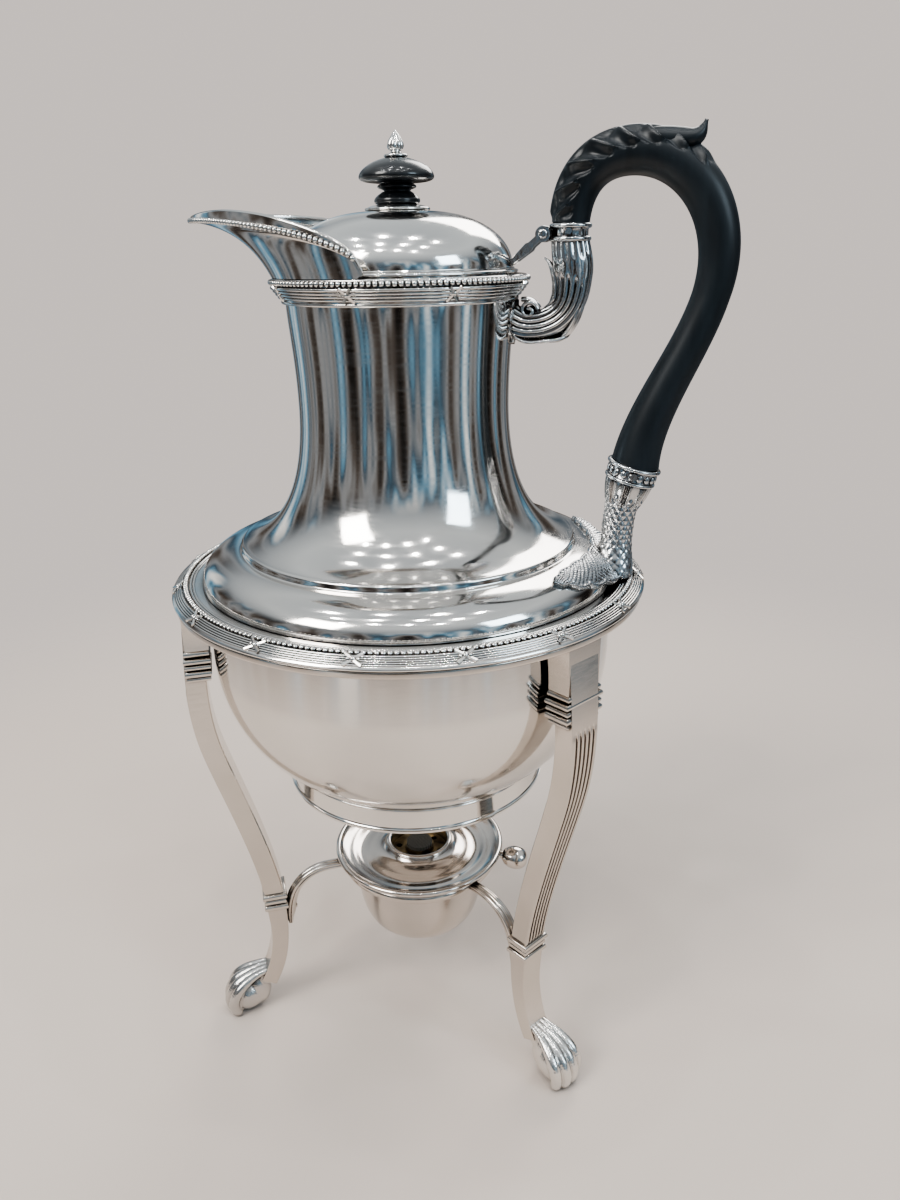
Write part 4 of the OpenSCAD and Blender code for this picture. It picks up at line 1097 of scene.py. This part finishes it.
def leg_parts():
    path, _, left = plane_frames(leg_line())
    rings = []
    block = LEG_TOP - 26
    for p, n in zip(path, left):
        z = p[1]
        drop = (LEG_TOP - z) / (LEG_TOP - KNEE_Z)
        width = LEG_W + (KNEE_W - LEG_W) * min(1, max(0, drop)) - 0.9 * smooth_step(z, KNEE_Z, 18)
        flute = 1.05 * float(smooth_step(block - z, 2.0, 4.5) * smooth_step(z - KNEE_Z, 3.5, 6))
        slim = 1 - 0.12 * smooth_step(KNEE_Z - z, 2, 20)
        section = leg_section(width, LEG_T * slim, flute)
        rings.append([(p[0] + n[0] * a, b, p[1] + n[1] * a) for a, b in section])
    parts = [loft(rings)]
    inner = BOWL_R + 1.4
    outer = LEG_R + LEG_T / 2
    width = LEG_W + 1.0
    rows = []
    for t in np.linspace(0, 1, 14):
        z = LEG_TOP - BLOCK_H * t
        flare = 1.6 * (1 - t) ** 2.2
        rows.append([(inner, -width / 2 - flare, z), (outer + 0.2, -width / 2 - 0.2 * flare, z),
                     (outer + 0.2, width / 2 + 0.2 * flare, z), (inner, width / 2 + flare, z)])
    parts.append(loft(rows))
    middle = (inner + outer) / 2 + 0.4
    fillets = ((2.6, 0.9, 2.0), (4.2, 1.5, 1.9), (3.4, 1.1, 1.7), (4.0, 1.4, 2.2), (1.6, 0.5, 1.6))
    for k, (wide, deep, high) in enumerate(fillets):
        z = LEG_TOP - 16.0 - 2.35 * k
        parts.append(slab(middle, z, outer - inner + deep, LEG_W + wide - 0.4, high))
    for dz, wide in ((2.6, 2.1), (0.1, 1.0), (-2.3, 1.9)):
        parts.append(slab(KNEE_R + 0.05 * dz, KNEE_Z + dz, LEG_T + wide, KNEE_W + wide + 0.2, 2.3))
    return join(parts)


def paw_mesh():
    """A lion's paw grown together from ellipsoids by remeshing, then smoothed and cut flat at the floor."""
    x = PAW_REACH
    balls = [ball((x + 0.6, 0, 6.8), 1, 32, 20, (7.6, 6.2, 6.8)),
             ball((x - 4.0, 0, 8.4), 1, 32, 20, (5.0, 4.8, 7.4)),
             ball((x - 7.2, 0, 14.0), 1, 32, 20, (3.5, 4.1, 4.6))]
    for i in range(4):
        v = (i - 1.5) / 1.5
        line = bez((x - 8.2, 2.7 * v, 17.8), (x - 0.6, 3.4 * v, 17.2),
                   (x + 10.9 - 2.0 * v * v, 7.3 * v, 11.0),
                   (x + 6.4 - 1.6 * v * v, 4.4 * v, 2.15), 28)
        for k, p in enumerate(line):
            balls.append(ball(p, 1.25 + 0.85 * float(smooth_step(k / 28, 0.05, 0.6)), 18, 12))
    points, faces = join(balls)
    mesh = bpy.data.meshes.new("paw_rough")
    mesh.from_pydata([tuple(p) for p in points], [], faces)
    rough = bpy.data.objects.new("paw_rough", mesh)
    bpy.context.scene.collection.objects.link(rough)
    remesh = rough.modifiers.new("grow", "REMESH")
    remesh.mode = "VOXEL"
    remesh.voxel_size = 0.28
    smooth = rough.modifiers.new("soften", "SMOOTH")
    smooth.factor, smooth.iterations = 0.6, 2
    done = rough.evaluated_get(bpy.context.evaluated_depsgraph_get()).to_mesh()
    points = np.array([v.co for v in done.vertices])
    faces = [tuple(p.vertices) for p in done.polygons]
    bpy.data.objects.remove(rough)
    points[:, 2] = np.maximum(points[:, 2], 0.0)
    return points, faces


PAW = paw_mesh()


def make_leg(side):
    angle = LEGS[side]
    points, faces = leg_parts()
    mesh_piece("leg_casting_" + side, turn_z(points, angle), faces, "stand", STAND, "stand_silver",
               ["leg_" + side], crease=38)
    points, faces = PAW
    mesh_piece("paw_" + side, turn_z(points, angle), faces, "stand", FUR, "stand_silver", crease=80)


def make_strut(side):
    """Reeded arm that runs from the lamp's holder down the inside of a leg."""
    holder_r, z = HOLDER_HIGH.x - 0.3, (HOLDER_LOW.z + HOLDER_HIGH.z) / 2 + 0.3
    end = KNEE_R - LEG_T / 2 - 1.5
    line = bez((holder_r, z), (holder_r + 13.5, z + 1.7), (end - 0.1, z - 4.3), (end, KNEE_Z - 13), 60)
    count = len(line) - 1
    halves = [(2.2 * (0.8 + 0.2 * i / count) * (1 - 0.5 * smooth_step(i / count, 0.9, 1.0)),
               2.2 * (0.9 + 0.3 * i / count)) for i in range(count + 1)]
    points, faces = ribbed(line, halves, 6, 0.2, 48)
    mesh_piece("arm_" + side, turn_z(points, LEGS[side]), faces, "stand", STAND, "stand_silver",
               ["strut_" + side], crease=60)


def make_stand_ring():
    z0, z1 = RING_LOW.z, RING_HIGH.z
    inner = BOWL_R + 1
    outline = chain([(inner, z0), (RING_R - 0.7, z0)], arc((RING_R - 0.65, z0 + 0.65), 0.65, -90, 0, 5),
                    [(RING_R, z1 - 0.75)],
                    arc((RING_R - 0.6, z1 - 0.6), 0.6, 0, 90, 5), [(inner, z1)])
    lathe("seat_ring", outline, "stand", STAND, "stand_silver", ["stand_ring"], seg=256)


# ---- Lamp ----
def make_lamp():
    rim, top = PAN_HIGH.x, PAN_HIGH.z
    collar = COLLAR_HIGH.x
    cup_r = CUP_HIGH.x
    low = CUP_HIGH.z
    r0 = rim - 1.1
    holder = (HOLDER_HIGH.x + cup_r + 0.9) / 2
    outline = chain(arc((r0, top - 1.1), 1.1, -120, 150, 14),
                    bez((r0 - 1.3, top - 1.0), (r0 - 3, top - 1.9), (r0 - 4, top - 2.1),
                        (r0 - 5.4, top - 2.3), 10),
                    bez((r0 - 5.4, top - 2.3), (r0 - 7.4, top - 2.6), (r0 - 8, top - 3.9),
                        (collar + 6.5, low + 0.9), 14),
                    bez((collar + 6.5, low + 0.9), (collar + 3.5, low + 0.9), (collar + 1.2, low + 1.3),
                        (collar, low + 2.8), 10),
                    [(collar, low), (cup_r + 0.3, low), (holder, low + 0.95)])
    lathe("pan_dish", outline, "lamp", LAMP, "lamp_silver", ["lamp_pan"], seg=224)
    inner = collar - 2.2
    z = COLLAR_HIGH.z
    ring = chain([(inner, PAN_LOW.z - 1.2), (collar - 0.02, PAN_LOW.z - 1.2), (collar - 0.02, low + 2.8)],
                 bez((collar - 0.02, low + 2.8), (collar - 0.6, low + 3.4), (collar - 0.5, z - 1.9),
                     (collar - 0.02, z - 1.3), 8),
                 arc((collar - 1.1, z - 1.1), 1.08, 0, 180, 14))
    lathe("burner_collar", ring, "lamp", LAMP, "lamp_silver", ["lamp_collar"], seg=160)
    depth = low - CUP_LOW.z
    base = CUP_LOW.z
    cup = chain([(0.01, base - 1.2), (0.45 * cup_r, base - 1.2)],
                bez((0.5 * cup_r, base - 1.2), (0.86 * cup_r, base - 1.0),
                    (0.93 * cup_r, base + 0.3 * depth), (0.97 * cup_r, base + 0.6 * depth), 36),
                bez((0.97 * cup_r, base + 0.6 * depth), (0.99 * cup_r, base + 0.76 * depth),
                    (cup_r, base + 0.9 * depth), (cup_r, low), 10))
    lathe("spirit_cup", shell(cup, 1.0), "lamp", LAMP, "lamp_silver", ["lamp_cup"], seg=192)
    start = Vector((EGG_LOW.x, 0, (EGG_LOW.z + EGG_HIGH.z) / 2 + 0.7))
    egg = chain([(0.01, 0), (1.5, 0), (1.5, 0.9)], bez((1.5, 0.9), (3.4, 1.6), (5.2, 4.6), (4.0, 8.2), 18),
                bez((4.0, 8.2), (3.2, 10.2), (1.6, 10.7), (0.01, 10.7), 12))
    points, faces = turned(egg, 56, wrap=False)
    points = lean_points(points, tuple(start), math.radians(98))
    mesh_piece("pan_knob", turn_z(points, math.radians(2)), faces, "lamp", LAMP, "lamp_silver", ["lamp_knob"])


make_bowl()
make_foot()
make_shoulder()
make_girdle()
make_neck_band()
make_lip()
make_lid()
make_finial()
make_strap()
make_grip()
make_upper_socket()
make_lower_socket()
for leg_side in LEGS:
    make_leg(leg_side)
    make_strut(leg_side)
make_stand_ring()
make_lamp()

# ---- CAD nodes that stay, with their own finish ----
KEPT = {
    "lamp_ring": STAND, "strut_rivets": STAND, "burner_plate": BRASS, "wick_tube": BRASS,
    "finial_screw": BRASS,
    "wick": COTTON, "hinge_lug": CAST, "handle_pins": CAST,
}
for node_name, finish in KEPT.items():
    cad = frame["nodes"][node_name]
    cad.data.materials.clear()
    cad.data.materials.append(finish)
    cad.data.shade_smooth()
    cad.data.set_sharp_from_angle(angle=math.radians(30))


# ---- Floor, light and camera ----
PALE = (0.60, 0.515, 0.455)
BACKDROP = (0.70, 0.635, 0.595)


def make_floor():
    """A round pale floor that fades into the backdrop of the same colour."""
    mesh = bpy.data.meshes.new("floor")
    radius, count = 0.62, 96
    rim = [(radius * math.cos(TAU * i / count), radius * math.sin(TAU * i / count), 0) for i in range(count)]
    mesh.from_pydata(rim, [], [tuple(range(count))])
    floor = bpy.data.objects.new("floor", mesh)
    bpy.context.scene.collection.objects.link(floor)
    material, tree, shader = new_material("pale_floor")
    shader.inputs["Base Color"].default_value = (*PALE, 1)
    shader.inputs["Roughness"].default_value = 0.8
    coords = tree.nodes.new("ShaderNodeTexCoord")
    length = tree.nodes.new("ShaderNodeVectorMath")
    length.operation = "LENGTH"
    node_link(tree, coords.outputs["Object"], length.inputs[0])
    fade = tree.nodes.new("ShaderNodeMapRange")
    fade.interpolation_type = "SMOOTHSTEP"
    fade.inputs["From Min"].default_value = 0.26
    fade.inputs["From Max"].default_value = radius - 0.02
    node_link(tree, length.outputs["Value"], fade.inputs["Value"])
    clear = tree.nodes.new("ShaderNodeBsdfTransparent")
    blend = tree.nodes.new("ShaderNodeMixShader")
    node_link(tree, fade.outputs["Result"], blend.inputs["Fac"])
    node_link(tree, shader.outputs["BSDF"], blend.inputs[1])
    node_link(tree, clear.outputs["BSDF"], blend.inputs[2])
    node_link(tree, blend.outputs["Shader"], tree.nodes["Material Output"].inputs["Surface"])
    mesh.materials.append(material)


def area_light(name, place, size, power, colour=(1, 1, 1), aim=(0, 0, 0.16), shape="SQUARE"):
    data = bpy.data.lights.new(name, "AREA")
    data.shape = shape
    data.size = size
    data.energy = power
    data.color = colour
    light = bpy.data.objects.new(name, data)
    light.location = place
    light.rotation_mode = "QUATERNION"
    light.rotation_quaternion = (Vector(aim) - Vector(place)).to_track_quat("-Z", "Y")
    bpy.context.scene.collection.objects.link(light)


def make_world():
    """A pale backdrop for the eye, and a room of broad dark and light fields for the silver to reflect."""
    world = bpy.data.worlds.new("studio")
    bpy.context.scene.world = world
    world.use_nodes = True
    tree = world.node_tree
    background = tree.nodes["Background"]
    coords = tree.nodes.new("ShaderNodeTexCoord")
    split = tree.nodes.new("ShaderNodeSeparateXYZ")
    node_link(tree, coords.outputs["Generated"], split.inputs["Vector"])
    height = tree.nodes.new("ShaderNodeMapRange")
    height.inputs["From Min"].default_value = -1
    height.inputs["From Max"].default_value = 1
    node_link(tree, split.outputs["Z"], height.inputs["Value"])
    sky = ramp(tree, height.outputs["Result"], [(0.0, (0.46, 0.375, 0.32)), (0.30, (0.36, 0.30, 0.26)),
                                                (0.5, (0.16, 0.15, 0.15)),
                                               (0.66, (0.22, 0.25, 0.28)), (0.84, (0.62, 0.66, 0.68)),
                                               (1.0, (0.50, 0.54, 0.57))])
    mapping = tree.nodes.new("ShaderNodeMapping")
    mapping.inputs["Scale"].default_value = (1, 1, 0.3)
    node_link(tree, coords.outputs["Generated"], mapping.inputs["Vector"])
    field = tree.nodes.new("ShaderNodeTexNoise")
    field.inputs["Scale"].default_value = 3.2
    field.inputs["Detail"].default_value = 2
    node_link(tree, mapping.outputs["Vector"], field.inputs["Vector"])
    bands = ramp(tree, field.outputs["Fac"], [(0.36, (0.015, 0.013, 0.012)), (0.44, (0.10, 0.085, 0.075)),
                                              (0.50, (0.30, 0.31, 0.32)),
                                             (0.56, (0.05, 0.08, 0.11)), (0.60, (0.16, 0.33, 0.46)),
                                             (0.68, (0.95, 0.95, 0.92))])
    near = ramp(tree, height.outputs["Result"], [(0.17, (0, 0, 0)), (0.25, (1, 1, 1)), (0.60, (1, 1, 1)),
                                                 (0.74, (0, 0, 0))])
    to_value = tree.nodes.new("ShaderNodeRGBToBW")
    node_link(tree, near, to_value.inputs["Color"])
    room = mix(tree, to_value.outputs["Val"], sky, bands)
    path = tree.nodes.new("ShaderNodeLightPath")
    seen = mix(tree, path.outputs["Is Camera Ray"], room, BACKDROP)
    node_link(tree, seen, background.inputs["Color"])
    background.inputs["Strength"].default_value = 1.0


def make_camera():
    """The photograph's viewing angle; turns are about the camera's own axes, in radians."""
    yaw, pitch, roll, row_turn = 0.0463558, 0.3707750, -0.0177707, math.radians(15)
    distance, height = 296.906, 281.538
    fwd = Vector((math.sin(yaw) * math.cos(pitch), math.cos(yaw) * math.cos(pitch), -math.sin(pitch)))
    right = Vector((math.cos(yaw), -math.sin(yaw), 0))
    up = right.cross(fwd)
    x = math.cos(roll) * right + math.sin(roll) * up
    y = -math.sin(roll) * right + math.cos(roll) * up
    spin = Matrix.Rotation(row_turn, 3, "Z")
    turn = spin @ Matrix((x, y, -fwd)).transposed()
    place = spin @ Vector((0, -distance, height)) * MM
    data = bpy.data.cameras.new("camera")
    data.lens = 27.0
    data.sensor_width = 36.0
    data.clip_start = 0.01
    camera = bpy.data.objects.new("camera", data)
    camera.matrix_world = Matrix.Translation(place) @ turn.to_4x4()
    bpy.context.scene.collection.objects.link(camera)
    bpy.context.scene.camera = camera
    bpy.context.scene.view_settings.look = "AgX - Medium High Contrast"


make_floor()
make_world()
make_camera()
area_light("key", (-1.1, -1.3, 1.5), 0.9, 26, (1.0, 0.98, 0.95))
area_light("fill", (1.6, -0.7, 1.0), 0.7, 9, (0.72, 0.88, 1.0))
area_light("rim", (0.3, 1.6, 1.3), 0.9, 14, (1, 0.97, 0.94))
for lamp_i in range(3):
    for lamp_j in range(4):
        area_light(f"spot_{lamp_i}_{lamp_j}", (-0.75 + 0.5 * lamp_j, -1.1 + 0.55 * lamp_i, 1.9), 0.06, 1.6,
                   aim=(0, 0, 0.2), shape="DISK")
